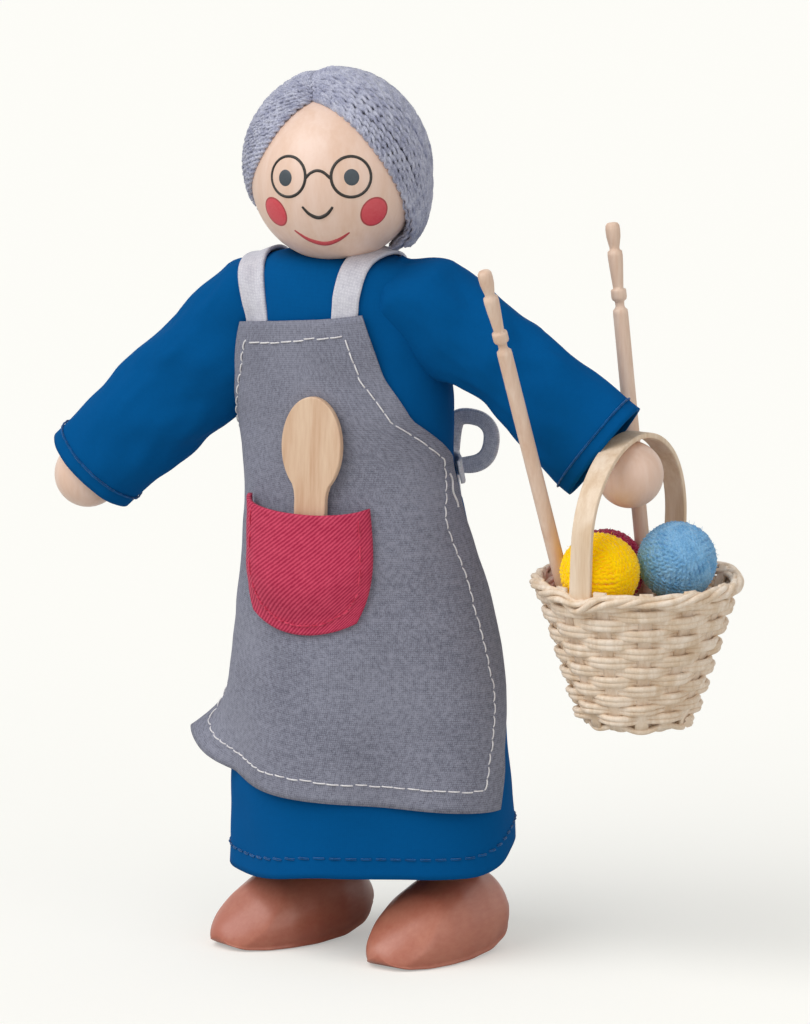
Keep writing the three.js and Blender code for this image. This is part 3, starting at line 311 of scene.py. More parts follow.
kinds = {
    wooden: {
        # varnished birch of the head and hands, the grain only just seen
        "varnishedBirch": ("#EFD1C0", "#E6C2AB", 0.5, (1, 1, 0.18), 0.42, 0.25, 0.02),
        # pale reddish beech of the hidden body and limbs, not varnished
        "bareBeech": ("#DDBE95", "#C9A276", 0.4, (1, 1, 0.12), 0.6, 0.0, 0.03),
        # birch of the spoon and the needles, dry and long in the grain
        "spoonBirch": ("#E4C6A9", "#CFA787", 0.34, (1, 1, 0.06), 0.55, 0.0, 0.04),
        "needleBirch": ("#EBD1BD", "#DCB9A0", 0.3, (1, 1, 0.08), 0.5, 0.05, 0.03),
        # pale split cane, a little warmer and closer in the handle
        "splitCane": ("#F8E8D6", "#DEC5A8", 0.32, (1, 1, 0.3), 0.62, 0.0, 0.05),
        "handleCane": ("#F0DBC3", "#DCBF9F", 0.3, (1, 1, 0.08), 0.6, 0.0, 0.05),
    },
    painted: {
        # drawn brass of the pins, bright and hidden
        "drawnBrass": ("#B8964F", "#A98442", 0.32, 0.0, 0.15, 0.1),
        # red brown paint of the shoes with a soft gloss
        "brownShoePaint": ("#AE624D", "#BC7760", 0.42, 0.3, 0.6, 0.12),
        # printing ink of the face, a little glossier than the wood
        "blackInk": ("#171310", "#231D18", 0.5, 0.1, 0.3, 0.1),
        "pupilInk": ("#39424A", "#454E56", 0.5, 0.1, 0.3, 0.1),
        "cheekInk": ("#D23C4A", "#DA5A62", 0.5, 0.1, 0.3, 0.2),
        "cheekRim": ("#A8343A", "#B84A4C", 0.5, 0.1, 0.3, 0.2),
        "mouthInk": ("#A62E38", "#B8434A", 0.5, 0.1, 0.3, 0.1),
    },
    cotton: {
        # dress poplin, its thread of 0.24 mm too fine to show
        "dressPoplin": ("#025796", "#024F88", 0.24, "plain", 0.015, 0.3, 0.0, 0.05),
        # apron drill with a salt and pepper thread
        "apronDrill": ("#9698A7", "#646573", 0.26, "plain", 0.03, 0.14, 0.06, 0.1),
        # pale grey ribbon, red twill with raised diagonal ribs, white tape of a coarse thread
        "ribbonGrey": ("#EDEEF6", "#B9BCC8", 0.3, "plain", 0.06, 0.15),
        "pocketTwill": ("#DA526E", "#A52345", 0.4, "twill", 0.05, 0.3, 0.05),
        "whiteTape": ("#E2E1E8", "#BDBCC8", 0.36, "plain", 0.06, 0.2),
    },
    spun: {
        # lavender grey wool of the hair, over a cap coloured darker as painted shade between the strands
        "hairWool": ("#CDCFDF", "#9A9DB6", 0.2),
        "hairShade": ("#A3A7C2", "#888CA9", 0.22),
        # sewing threads: white, the dress's own blue and the pocket's own red
        "stitchThread": ("#F2F0F0", "#CFCBD0", 0.12),
        "hemThread": ("#0C5C9C", "#083F70", 0.12),
        "pocketThread": ("#E0506E", "#A81E3C", 0.12),
        # matt fuzzy wool of the three balls
        "yellowWool": ("#FFD800", "#FFC800", 0.2),
        "blueWool": ("#93C6EC", "#62A0D2", 0.2),
        "redWool": ("#D23A63", "#A31F45", 0.2),
    },
}
finishes = {name: make(name, *values) for make, rows in kinds.items() for name, values in rows.items()}


def retune(finish, values):
    shader = next(n for n in finishes[finish].node_tree.nodes if n.type == "BSDF_PRINCIPLED")
    for key, value in values.items():
        shader.inputs[key].default_value = value


retune("drawnBrass", {"Metallic": 1})
# painted light: the yellow wool glows a little of its own, so that it looks brighter than the lamps make it
retune("yellowWool", {"Emission Color": hexColour("#FFC400"), "Emission Strength": 0.12})
print("finishes made:", len(finishes))


# Making pieces
def addPiece(name, bm, finish, slot, body=None, node=None, smooth=True):
    bmesh.ops.transform(bm, matrix=toPart, verts=bm.verts)
    mesh = meshOf(name, bm)
    for face in mesh.polygons:
        face.use_smooth = smooth
    piece = newObject(name, mesh)
    mesh.materials.append(finishes[finish])
    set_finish(piece, slot)
    if body:
        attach(piece, body)
    if node:
        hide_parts(node)
    return piece


def faceOut(bm, middle, line=Vector((0, 0, 0))):
    # Faces turned away from a middle, or from a line through it
    total = 0
    for face in bm.faces:
        out = face.calc_center_median() - Vector(middle)
        total += face.normal.dot(out - line * out.dot(line)) * (1 if line.length else face.calc_area())
    if total < 0:
        bmesh.ops.reverse_faces(bm, faces=bm.faces)


def setCut(bm, cut, sizeAt):
    for face in bm.faces:
        for loop in face.loops:
            loop[cut].uv = sizeAt(loop.vert.co)


def clothGrid(across, up, pointAt, width, height, wrapped=False, middle=None):
    # A flat grid with its cut size as the map, laid on the form by a function of its share across and up
    bm = bmesh.new()
    cut = bm.loops.layers.uv.new("cut")
    bmesh.ops.create_grid(bm, x_segments=across, y_segments=up, size=0.5)
    setCut(bm, cut, lambda co: ((co.x + 0.5) * width * mm, (co.y + 0.5) * height * mm))
    for vert in bm.verts:
        vert.co = pointAt(vert.co.x + 0.5, vert.co.y + 0.5)
    if wrapped:
        bmesh.ops.remove_doubles(bm, verts=bm.verts, dist=1e-4)
    bm.normal_update()
    if middle is not None:
        faceOut(bm, middle)
    return bm


def thicken(bm, thickness):
    # The cloth's inner face, grown away from the outside
    bm.normal_update()
    bmesh.ops.solidify(bm, geom=bm.faces[:], thickness=thickness)
    return bm


def cutAt(piece, point, normal, names, closed):
    # Two pieces that meet on a plane, the cut edge of a cloth closed by a ring or a strip
    found = []
    for name, keepsFar in zip(names, (False, True)):
        bm = bmesh.new()
        bm.from_mesh(piece.data)
        bmesh.ops.bisect_plane(bm, geom=bm.verts[:] + bm.edges[:] + bm.faces[:], plane_co=partPoint(point),
                               plane_no=normal, clear_inner=keepsFar, clear_outer=not keepsFar)
        if closed:
            rim = [e for e in bm.edges if e.is_boundary]
            for edge in rim:
                edge.smooth = False
            if closed == "ring":
                bmesh.ops.bridge_loops(bm, edges=rim)
            else:
                bmesh.ops.holes_fill(bm, edges=rim, sides=0)
        mesh = meshOf(name, bm)
        for material in piece.data.materials:
            mesh.materials.append(material)
        half = newObject(name, mesh)
        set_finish(half, piece["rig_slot"])
        found.append(half)
    bpy.data.objects.remove(piece)
    return found


def sweep(name, paths, section, finish, slot, body=None, closed=False, radii=None, tilts=None):
    # Strands, canes and threads: a section drawn along each path
    shape = bpy.data.curves.new("section", "CURVE")
    shape.dimensions = "2D"
    line = shape.splines.new("POLY")
    line.points.add(len(section) - 1)
    for point, (x, y) in zip(line.points, section):
        point.co = (x * mm, y * mm, 0, 1)
    line.use_cyclic_u = True
    holder = newObject("section", shape)
    curve = bpy.data.curves.new(name, "CURVE")
    curve.dimensions, curve.twist_mode, curve.bevel_mode = "3D", "MINIMUM", "OBJECT"
    curve.bevel_object = holder
    curve.use_fill_caps = True
    for k, path in enumerate(paths):
        line = curve.splines.new("POLY")
        line.points.add(len(path) - 1)
        line.use_cyclic_u = closed
        for i, place in enumerate(path):
            line.points[i].co = (*partPoint(place), 1)
            if radii:
                line.points[i].radius = radii(k, i / (len(path) - 1))
            if tilts:
                line.points[i].tilt = tilts(k, i)
    drawn = newObject(name, curve)
    mesh = bpy.data.meshes.new_from_object(drawn.evaluated_get(bpy.context.evaluated_depsgraph_get()))
    bpy.data.objects.remove(drawn)
    bpy.data.objects.remove(holder)
    bm = bmesh.new()
    bm.from_mesh(mesh)
    bpy.data.meshes.remove(mesh)
    bmesh.ops.recalc_face_normals(bm, faces=bm.faces)
    bmesh.ops.transform(bm, matrix=toPart.inverted(), verts=bm.verts)
    return addPiece(name, bm, finish, slot, body)


def circle(radius, i, count):
    return radius * cos(2 * pi * i / count), radius * sin(2 * pi * i / count)


def roundSection(radius, sides, flatness=1.0):
    return [(radius * cos(2 * pi * i / sides), radius * flatness * sin(2 * pi * i / sides)) for i in range(sides)]


def along(rows, level, column):
    if level <= rows[0][0]:
        return rows[0][column]
    for low, high in zip(rows, rows[1:]):
        if level <= high[0]:
            t = (level - low[0]) / (high[0] - low[0])
            return low[column] * (1 - t) + high[column] * t
    return rows[-1][column]


def smoothAlong(rows, level, column, reach=0.02):
    return sum(along(rows, level + reach * k, column) for k in (-2, -1, 0, 1, 2)) / 5


def spline(a, b, c, d, f):
    # Smooth line through four values, between the two in the middle
    return 0.5 * (2 * b + (c - a) * f + (2 * a - 5 * b + 4 * c - d) * f * f + (3 * b - a - 3 * c + d) * f ** 3)


def curvePoint(points, t):
    # Smooth line through a few points
    k = min(len(points) - 1.000001, max(0, t * (len(points) - 1)))
    i, f = int(k), k - int(k)
    return spline(*[Vector(points[max(0, min(len(points) - 1, i + j))]) for j in (-1, 0, 1, 2)], f)


def crumple(point, size, seed=0.0):
    # Slow unevenness of cloth, from -1 to 1
    return noise.noise(Vector(point) / size + Vector((seed, 3.1 * seed, 0)))


# Dress: levels run from 0 at the hem to 1 at the waist seam and 2 at the shoulders
dress = {
    "hem": 11.9, "waist": 60, "shoulder": 88.09, "topLevel": 2.182, "halfWidth": 19.7, "halfDepth": 16.8,
    "cloth": 0.5, "foldDepth": 1.2, "crumple": 0.28, "dip": 1.8, "dipAngle": -64, "sideRise": 2.4, "overlap": 0.3,
    "folds": [(5, 0.6, 0.55), (3, 1.9, 0.45)], "skirtGrid": (150, 64), "skirtRound": 105, "bodiceGrid": (110, 60),
    "bodiceCut": (80, 38), "stitches": 58, "dash": 0.038, "stitchesUp": 2.7,
    "rows": [(-0.0811, 1, 1), (0.0021, 0.9848, 0.9821), (0.4179, 0.93, 0.8929), (0.6466, 0.88, 0.8333),
             (0.8129, 0.805, 0.7679), (1, 0.72, 0.6726), (1.2136, 0.71, 0.619), (1.4985, 0.735, 0.5952),
             (1.7833, 0.72, 0.5595), (1.9969, 0.6853, 0.494), (2.1108, 0.6193, 0.4167), (2.1607, 0.4569, 0.3452),
             (2.182, 0.2792, 0.2738)],
    "middle": [(-0.2474, 0.08, 0.24), (0.0021, 0.14, 0.18), (0.6674, 1.5, -0.07), (1.2136, 0.5, 0), (1.45, 0.8, 0),
               (1.75, 0.3, 0), (1.9613, 0.22, 0), (2.531, 0.43, -0.05)],
}
trunkLine = trunk.to_3x3() @ upward


def levelAt(z):
    if z <= dress["waist"]:
        return (z - dress["hem"]) / (dress["waist"] - dress["hem"])
    return 1 + (z - dress["waist"]) / (dress["shoulder"] - dress["waist"])


def heightAt(level):
    if level <= 1:
        return dress["hem"] + level * (dress["waist"] - dress["hem"])
    return dress["waist"] + (level - 1) * (dress["shoulder"] - dress["waist"])


def dressMiddle(z):
    reach = (z - doll["hip"][2]) / trunkLine.z
    x, y = [doll["hip"][k] + reach * trunkLine[k] + smoothAlong(dress["middle"], levelAt(z), k + 1, 0.05)
            for k in (0, 1)]
    return Vector((x, y, z))


def dressRadii(angle, z, off):
    fall = ease((dress["waist"] - z) / (dress["waist"] - dress["hem"]))
    wave = dress["foldDepth"] * fall * sum(cos(n * angle + start) * share for n, start, share in dress["folds"])
    place = (sin(angle) * 15, -cos(angle) * 15, z)
    wave += dress["crumple"] * (crumple(place, 9) + 0.5 * crumple(place, 4, 5))
    level = levelAt(z)
    reach = 0.02 if level < 1.95 else 0.006
    return [dress[half] * smoothAlong(dress["rows"], level, column, reach) + off + wave
            for half, column in (("halfWidth", 1), ("halfDepth", 2))]


def dressPoint(angle, z, off=0.0):
    rx, ry = dressRadii(angle, z, off)
    middle = dressMiddle(z)
    return Vector((middle.x + rx * sin(angle), middle.y - ry * cos(angle), z))


def hemAt(angle):
    # The hem hangs lower beside her right foot and rises on her left
    turned = degrees(angle) % 360
    rise = dress["sideRise"] * ease((turned - 60) / 50) * ease((215 - turned) / 50)
    return dress["hem"] + rise - dress["dip"] * ease((cos(angle - radians(dress["dipAngle"])) - 0.4) / 0.6)


def skirtPoint(u, v):
    low, high = hemAt(u * 2 * pi), dress["waist"] + dress["overlap"]
    return dressPoint(u * 2 * pi, mix(low, high, v))


def bodicePoint(u, v):
    # rows stand closer from the waist to the shoulders than in the neck
    low = dress["waist"] - dress["overlap"]
    z = low + (heightAt(dress["topLevel"]) - dress["waist"] + dress["overlap"]) * (
        v * 0.84 if v < 0.9 else 0.756 + (v - 0.9) * 2.44)
    return dressPoint(u * 2 * pi, z, -0.05)


# Long cloth is cut in two above the knee; both halves stay where they are built
bends = {"cut": 35.5, "hip": (47, 36.2), "knee": (34.8, 22)}


def blendDown(piece, joint):
    if joint == "hip":
        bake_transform(piece)
    else:
        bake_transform(piece)


def hangFromHips(piece, name, closed):
    upper, lower = cutAt(piece, (0, 0, bends["cut"]), (0, 0, -1), (name + "Upper", name + "Lower"), closed)
    blendDown(upper, "hip")
    blendDown(lower, "knee")
    return upper, lower


# Sleeves: round the arm from inside the bodice to the cuff
sleeve = {
    "start": -5, "aboveNeck": 1.0, "aboveShoulder": {"right": 4.7, "left": 6.0}, "belowBody": 10.5,
    "belowCuff": {"right": 6.8, "left": 7.7}, "aboveCuff": {"right": 6.8, "left": 8.2}, "deepBody": 6.4,
    "deepCuff": 5.4, "armpitRise": {"right": -0.5, "left": 4}, "cuffBeforeHand": {"right": 0.9, "left": 4.4},
    "cloth": 0.5, "crease": 0.4, "seed": {"right": 4, "left": 11}, "capCut": 1.5, "upperCut": 10,
    "pinch": 0.6, "pinchReach": 3.5, "flatWidth": 12.2, "grid": (84, 64), "round": 44, "middle": 15,
    "stitches": 30, "dash": 0.11, "stitchInset": 1.9,
    "blends": {"Cap": (-5.5, 1), "Upper": (0.2, 6.5), "Lower": (12, 22)},
}
signs = {"right": -1, "left": 1}


def armLine(side):
    direction = Vector(doll["arm"][side]).normalized()
    shoulder = trunk @ Vector((signs[side] * doll["shoulderHalfWidth"], 0, doll["shoulderHeight"]))
    deep = Vector((1, 0, 0)).cross(direction).normalized() * signs[side]
    wide = direction.cross(deep).normalized()
    return shoulder, direction, deep, wide


def handPlace(side):
    shoulder, direction, _, _ = armLine(side)
    return shoulder + direction * (doll["upperArm"] + doll["forearm"]), direction


def sleeveEnd(side):
    return doll["upperArm"] + doll["forearm"] - sleeve["cuffBeforeHand"][side]


def sleevePinch(reach):
    # narrower at its start, so that the cut end stays inside the bodice
    return mix(sleeve["pinch"], 1, ease((reach - sleeve["start"]) / sleeve["pinchReach"]))


def sleeveTop(side, reach):
    rise = ease((reach - sleeve["start"]) / (1 - sleeve["start"]))
    return mix(sleeve["aboveNeck"], sleeve["aboveShoulder"][side], rise)


def sleevePoint(side, angle, reach, grow=0.0):
    shoulder, direction, deep, wide = armLine(side)
    end = sleeveEnd(side)
    t = min(1.0, max(0.0, reach / end))
    v = (reach - sleeve["start"]) / (end - sleeve["start"])
    place = (12 * cos(angle), 12 * sin(angle), reach)
    seed = sleeve["seed"][side]
    crease = sleeve["crease"] * sin(pi * min(1, max(0, v))) * (
        0.6 * sin(7 * v * pi + 3 * angle) + 1.1 * crumple(place, 7, seed) + 0.6 * crumple(place, 3.2, seed))
    crease += 0.2 * crumple(place, 5, seed + 2)
    above = sleeveTop(side, reach) + (sleeve["aboveCuff"][side] - sleeve["aboveShoulder"][side]) * t
    below = mix(sleeve["belowBody"], sleeve["belowCuff"][side], t)
    below -= sleeve["armpitRise"][side] * ease((reach - 5) / 7) * ease((end - reach) / 18)
    width = (above if cos(angle) > 0 else below) + grow + crease
    depth = mix(sleeve["deepBody"], sleeve["deepCuff"], t) * sleevePinch(reach) + grow + crease
    return shoulder + direction * reach + wide * width * cos(angle) + deep * depth * sin(angle)


def stitchRing(name, body, count, span, rises, pointAt):
    # Running stitch round a cuff or hem, in thread of the dress's own blue
    dashes = []
    for k in range(count):
        a = 2 * pi * k / count
        dashes.append([pointAt(a, a + span * (j - 2) / 2, rises[j]) for j in range(5)])
    sweep(name, dashes, roundSection(0.13, 6), "hemThread", "blue_cotton", body)


def makeSleeve(side):
    start, end = sleeve["start"], sleeveEnd(side)
    shoulder, direction, _, _ = armLine(side)
    bm = clothGrid(*sleeve["grid"], lambda u, v: sleevePoint(side, u * 2 * pi, mix(start, end, v)),
                   sleeve["round"], end - start, wrapped=True)
    faceOut(bm, shoulder + direction * sleeve["middle"], direction)
    whole = addPiece(side + "SleeveCloth", thicken(bm, sleeve["cloth"]), "dressPoplin", "blue_cotton")
    cap, rest = cutAt(whole, shoulder + direction * sleeve["capCut"], direction,
                      (side + "SleeveCap", side + "SleeveRest"), "ring")
    upper, lower = cutAt(rest, shoulder + direction * sleeve["upperCut"], direction,
                         (side + "SleeveUpper", side + "SleeveLower"), "ring")
    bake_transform(cap)
    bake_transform(upper)
    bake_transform(lower)
    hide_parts(side + "_sleeve")
    stitchRing(side + "CuffStitch", side + "_forearm", sleeve["stitches"], sleeve["dash"],
               (0.09, 0.16, 0.18, 0.16, 0.09),
               lambda a, angle, rise: sleevePoint(side, angle, end - sleeve["stitchInset"], rise))


bm = clothGrid(*dress["skirtGrid"], skirtPoint, dress["skirtRound"], dress["waist"] - dress["hem"], wrapped=True,
               middle=dressMiddle(36))
skirt = addPiece("skirtCloth", thicken(bm, dress["cloth"]), "dressPoplin", "blue_cotton")
bm = clothGrid(*dress["bodiceGrid"], bodicePoint, *dress["bodiceCut"], wrapped=True, middle=dressMiddle(76))
addPiece("bodiceCloth", thicken(bm, dress["cloth"]), "dressPoplin", "blue_cotton", "torso", "dress_bodice")
skirtUpper, skirtLower = hangFromHips(skirt, "skirt", "ring")
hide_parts("skirt")
stitchRing("hemStitch", "right_shin", dress["stitches"], dress["dash"], (0.04, 0.12, 0.14, 0.12, 0.04),
           lambda a, angle, rise: dressPoint(angle, hemAt(a) + dress["stitchesUp"], rise))
for side in ("right", "left"):
    makeSleeve(side)
print("dress and sleeves made")


# Apron: front sheet over the dress, the corner by her right foot thrown outward
apron = {
    "gap": 0.5, "cloth": 0.45, "belowShoulder": 4.14, "flare": 6.4, "thrownTo": 0.2, "topRise": 2.6,
    "standoff": 1.0, "cornerStandoff": 0.45, "fold": 0.9, "lowest": 20, "grid": (120, 84), "cut": (58, 62),
    "aboveHem": [(0, 15.4), (0.12, 12.2), (0.35, 10.9), (0.6, 10.1), (0.85, 9.1), (1, 8.4)],
    "leftRows": [(20, -88), (35, -95), (50, -100), (65, -98), (72, -68), (77, -57), (86, -45)],
    "rightRows": [(20, 80), (35, 100), (50, 104), (65, 93), (70.5, 54), (76, 39.5), (86, 27)],
}
apronTop = dress["shoulder"] - apron["belowShoulder"]


def apronEdges(v):
    nominal = apron["lowest"] + (apronTop - apron["lowest"]) * v
    return along(apron["leftRows"], nominal, 1), along(apron["rightRows"], nominal, 1)


def apronPoint(u, v, off=0.0):
    angle = radians(mix(*apronEdges(v), u))
    foot = dress["hem"] + smoothAlong(apron["aboveHem"], u, 1, 0.03)
    z = foot + (apronTop + apron["topRise"] * u - foot) * v
    thrown = apron["flare"] * max(0.0, (0.22 - u) / 0.22) ** 1.3 * max(0.0, 1 - v / apron["thrownTo"]) ** 2.2
    stood = apron["standoff"] * ease((0.3 - u) / 0.3) * ease((v - 0.3) / 0.25)
    stood += apron["cornerStandoff"] * ease((u - 0.5) / 0.2) * ease((v - 0.86) / 0.08)
    # soft folds fall down the front
    fold = apron["fold"] * ease((0.62 - v) / 0.6) * (0.5 + 0.5 * sin(15 * u + 1.2 - 2.5 * v))
    return dressPoint(angle, z, apron["gap"] + off + thrown + stood + fold)


def stitchesAlong(name, pointAt, length, dash, gap, radius, finish, slot):
    # Running stitch: each dash dives into the cloth at both ends
    count = max(1, round(length / (dash + gap)))
    share = dash / (dash + gap) / count
    paths = []
    for k in range(count):
        t = (k + random.uniform(0.02, 0.12)) / count
        side = random.uniform(-0.12, 0.12)
        paths.append([pointAt(t + share * j / 5, (-0.1, 0.1, 0.14, 0.14, 0.1, -0.1)[j], side) for j in range(6)])
    return sweep(name, paths, roundSection(radius, 7), finish, slot)


stitch = {"inset": {"Left": 2.3, "Right": 3.5, "low": 6.5}, "dash": 1.6, "gap": 0.2, "radius": 0.1,
          "length": {"Left": 62, "Right": 66, "Top": 14, "Bottom": 50}, "foot": 0.043, "head": 0.958,
          "tack": (0.95, 0.672, 0.07), "tackRadius": 0.14}


def apronSide(which):
    # Stitch line a little inside one edge, as shares across and up
    def at(t, off, side):
        v = stitch["foot"] + (stitch["head"] - stitch["foot"]) * t if which != "Bottom" else stitch["foot"]
        if which in ("Right", "Left"):
            left, right = apronEdges(v)
            wide = stitch["inset"][which]
            if which == "Right":
                wide += (stitch["inset"]["low"] - wide) * ease((0.69 - v) / 0.12) - 2.6 * ease((0.5 - v) / 0.5)
            inset = (wide + side) / (radians(right - left) * 15)
            return apronPoint(1 - inset if which == "Right" else inset, v, off)
        if which == "Top":
            return apronPoint(0.135 + 0.7 * t, 0.95 + 0.016 * t + side / 62, off)
        return apronPoint(0.045 + 0.864 * t, v + side / 62, off)
    return at


bm = clothGrid(*apron["grid"], apronPoint, *apron["cut"], middle=dressMiddle(50))
whole = addPiece("apronCloth", thicken(bm, apron["cloth"]), "apronDrill", "grey_cotton")
apronUpper, apronLower = hangFromHips(whole, "apron", "strip")
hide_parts("apron")
apronSeams = []
for name, length in stitch["length"].items():
    line = stitchesAlong("apronStitch" + name, apronSide(name), length, stitch["dash"], stitch["gap"],
                         stitch["radius"], "stitchThread", "white_tape")
    if name in ("Left", "Right"):
        apronSeams.extend(hangFromHips(line, "apronStitch" + name, None))
        continue
    if name == "Top":
        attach(line, "torso")
    else:
        blendDown(line, "knee")
    apronSeams.append(line)
across, top, drop = stitch["tack"]
corner = [apronPoint(across + 0.006 * sin(9 * t), top - drop * t, 0.1) for t in [i / 14 for i in range(15)]]
sweep("apronCornerTack", [corner], roundSection(stitch["tackRadius"], 7), "stitchThread", "white_tape", "torso")
print("apron and its stitching made")


# Pocket, stood off the apron where the spoon is
pocket = {"above": 1.3, "height": 17, "halfAngle": 37.8, "angle": -9.2, "room": 1.9, "cloth": 0.55, "gap": 0.3,
          "sag": 0.9, "grid": (44, 40), "cut": (18, 16),
          "dash": 1.2, "stitchGap": 0.5, "stitchRadius": 0.13, "stitchLength": 44,
          "seam": [(0.18, 0.97), (0.18, 0.3), (0.21, 0.17), (0.33, 0.09), (0.5, 0.075), (0.7, 0.085), (0.87, 0.16),
                   (0.92, 0.3), (0.92, 0.97)]}
pocketTop = dress["waist"] + pocket["above"]


def pocketPoint(u, v, off=0.0):
    side = 2 * u - 1
    narrowing = 1 - 0.3 * (1 - v) ** 3
    z = pocketTop - pocket["height"] * (1 - v) * (1 - 0.12 * side * side) - pocket["sag"] * (1 - side * side) * v
    angle = radians(pocket["angle"] + pocket["halfAngle"] * side * narrowing)
    room = pocket["room"] * (1 - side ** 4) * ease(v / 0.45)
    off += 0.06 * crumple((20 * u, 20 * v, 3), 3)
    return dressPoint(angle, z, apron["gap"] + pocket["gap"] + room + off)


def seamPoint(t, off, side):
    k = min(len(pocket["seam"]) - 1.0001, t * (len(pocket["seam"]) - 1))
    (u0, v0), (u1, v1) = pocket["seam"][int(k)], pocket["seam"][int(k) + 1]
    f = k - int(k)
    return pocketPoint(mix(u0, u1, f), mix(v0, v1, f), pocket["cloth"] + off * 0.8)


bm = clothGrid(*pocket["grid"], lambda u, v: pocketPoint(u, v, pocket["cloth"]), *pocket["cut"],
               middle=dressMiddle(52))
cloth = addPiece("pocketCloth", thicken(bm, pocket["cloth"]), "pocketTwill", "red_twill", node="apron_pocket")
blendDown(cloth, "hip")
blendDown(stitchesAlong("pocketStitch", seamPoint, pocket["stitchLength"], pocket["dash"], pocket["stitchGap"],
                        pocket["stitchRadius"], "pocketThread", "red_twill"), "hip")

# Straps over the shoulders, laid on the dress: to the side in front, on the shoulder and behind
strap = {"width": 3.4, "thick": 0.45, "right": (-8.7, -11.4, -7), "left": (4.5, 5.3, 4), "gap": 0.25,
         "tuck": {"right": 2.5, "left": 13}, "tuckDepth": 0.3, "centre": 83, "over": 0.62, "foot": 64.6,
         "grid": (8, 70), "length": 46}


def insideSleeve(point, side):
    shoulder, direction, deep, wide = armLine(side)
    reach = (point - shoulder).dot(direction)
    if reach < sleeve["start"]:
        return False
    across, through = (point - shoulder).dot(wide), (point - shoulder).dot(deep)
    width = sleeveTop(side, reach) if across > 0 else sleeve["belowBody"]
    depth = sleeve["deepBody"] * sleevePinch(reach)
    return (across / (width + 0.25)) ** 2 + (through / (depth + 0.25)) ** 2 < 1


def insideDress(point):
    if insideSleeve(point, "right") or insideSleeve(point, "left"):
        return True
    if point.z >= heightAt(2.18):
        return False
    middle = dressMiddle(point.z)
    x, y = point.x - middle.x, point.y - middle.y
    rx, ry = dressRadii(atan2(x, -y), point.z, 0)
    return (x / rx) ** 2 + (y / ry) ** 2 < 1


def dressHit(x, beta, off):
    # Outward from the dress's middle at a set distance to the side, until the cloth's outside
    centre = dressMiddle(strap["centre"])
    start = Vector((centre.x + x, centre.y, strap["centre"]))
    ray = Vector((0, -cos(beta), sin(beta)))
    low, high = 0.0, 30.0
    for _ in range(24):
        half = (low + high) / 2
        if insideDress(start + ray * half):
            low = half
        else:
            high = half
    return start + ray * (low + off)


def strapPoint(side, u, v, off):
    # the lower end is tucked between dress and apron
    low, high, behind = strap[side]
    beta = radians(mix(strap["tuck"][side], 180, min(1, v / strap["over"])))
    off -= strap["tuckDepth"] * ease((0.08 - v) / 0.04)
    x = mix(low, high, ease(v / 0.3)) + (behind - high) * ease((v - 0.36) / 0.3)
    x += strap["width"] * (u - 0.5)
    if v <= strap["over"]:
        near = [dressHit(x, beta + step, strap["gap"] + off) for step in (-0.16, -0.08, 0, 0.08, 0.16)]
        return (near[0] + 2 * near[1] + 3 * near[2] + 2 * near[3] + near[4]) / 9
    z = strap["centre"] - (strap["centre"] - strap["foot"]) * (v - strap["over"]) / (1 - strap["over"])
    middle = dressMiddle(z)
    rx, ry = dressRadii(pi, z, strap["gap"] + off)
    share = max(-1, min(1, x / rx))
    return Vector((middle.x + x, middle.y + ry * sqrt(1 - share * share), z))


for side in ("right", "left"):
    bm = clothGrid(*strap["grid"], lambda u, v: strapPoint(side, u, v, strap["thick"]), strap["width"],
                   strap["length"], middle=dressMiddle(80))
    addPiece(side + "StrapTape", thicken(bm, strap["thick"]), "whiteTape", "white_tape", "torso", side + "_strap")

# Ties round the waist to the bow behind
tie = {"height": 64.4, "width": 3, "thick": 0.4, "gap": 0.55, "sag": 0.25,
       "left": (101, 140), "right": (156, 259), "bow": 148, "grid": (50, 6), "length": 30}


def tiePoint(side, u, v):
    a = radians(mix(*tie[side], u))
    sag = tie["sag"] * crumple((9 * cos(a), 9 * sin(a), 2), 4)
    return dressPoint(a, tie["height"] + sag + tie["width"] * (v - 0.5), tie["gap"] + tie["thick"])


for side in ("left", "right"):
    bm = clothGrid(*tie["grid"], lambda u, v: tiePoint(side, u, v), tie["length"], tie["width"],
                   middle=dressMiddle(64))
    apronSeams.append(addPiece(side + "TieRibbon", thicken(bm, tie["thick"]), "ribbonGrey", "grey_cotton", "torso",
                               side + "_tie"))

bow = {
    "width": 2.3, "thick": 0.35, "lean": {"Loop": 20, "Tail": 8}, "rows": {"Loop": 60, "Tail": 24},
    "length": {"Loop": 22, "Tail": 8}, "smaller": 0.8, "knot": (1.5, 1.5, 1.75), "knotBack": 1.9, "knotRidge": 0.12,
    "Loop": [(0.6, 2.0, -0.5), (1.6, 2.6, -1.0), (4.0, 4.0, -0.4), (5.3, 4.8, 1.2), (5.5, 4.9, 3.9), (4.0, 4.0, 5.4),
             (1.3, 2.4, 5.0), (0.5, 2.0, 0.9)],
    "Tail": [(0.1, 2.3, -0.6), (0.2, 2.6, -2.4), (0.3, 2.9, -4.6), (0.3, 3.2, -6.6)],
}
bowFrame = Matrix.Translation(dressPoint(radians(tie["bow"]), tie["height"], 0.3)) @ turn(tie["bow"] - 180, "Z")


def ribbonPoint(points, plane, lean, u, v):
    spot = curvePoint(points, v)
    line = (curvePoint(points, min(1, v + 0.02)) - curvePoint(points, max(0, v - 0.02))).normalized()
    wide = line.cross(plane).normalized() * cos(radians(lean)) + plane * sin(radians(lean))
    pinch = 0.55 + 0.45 * ease(min(v, 1.3 - v) / 0.25)
    return bowFrame @ (spot + wide * bow["width"] * pinch * (u - 0.5))


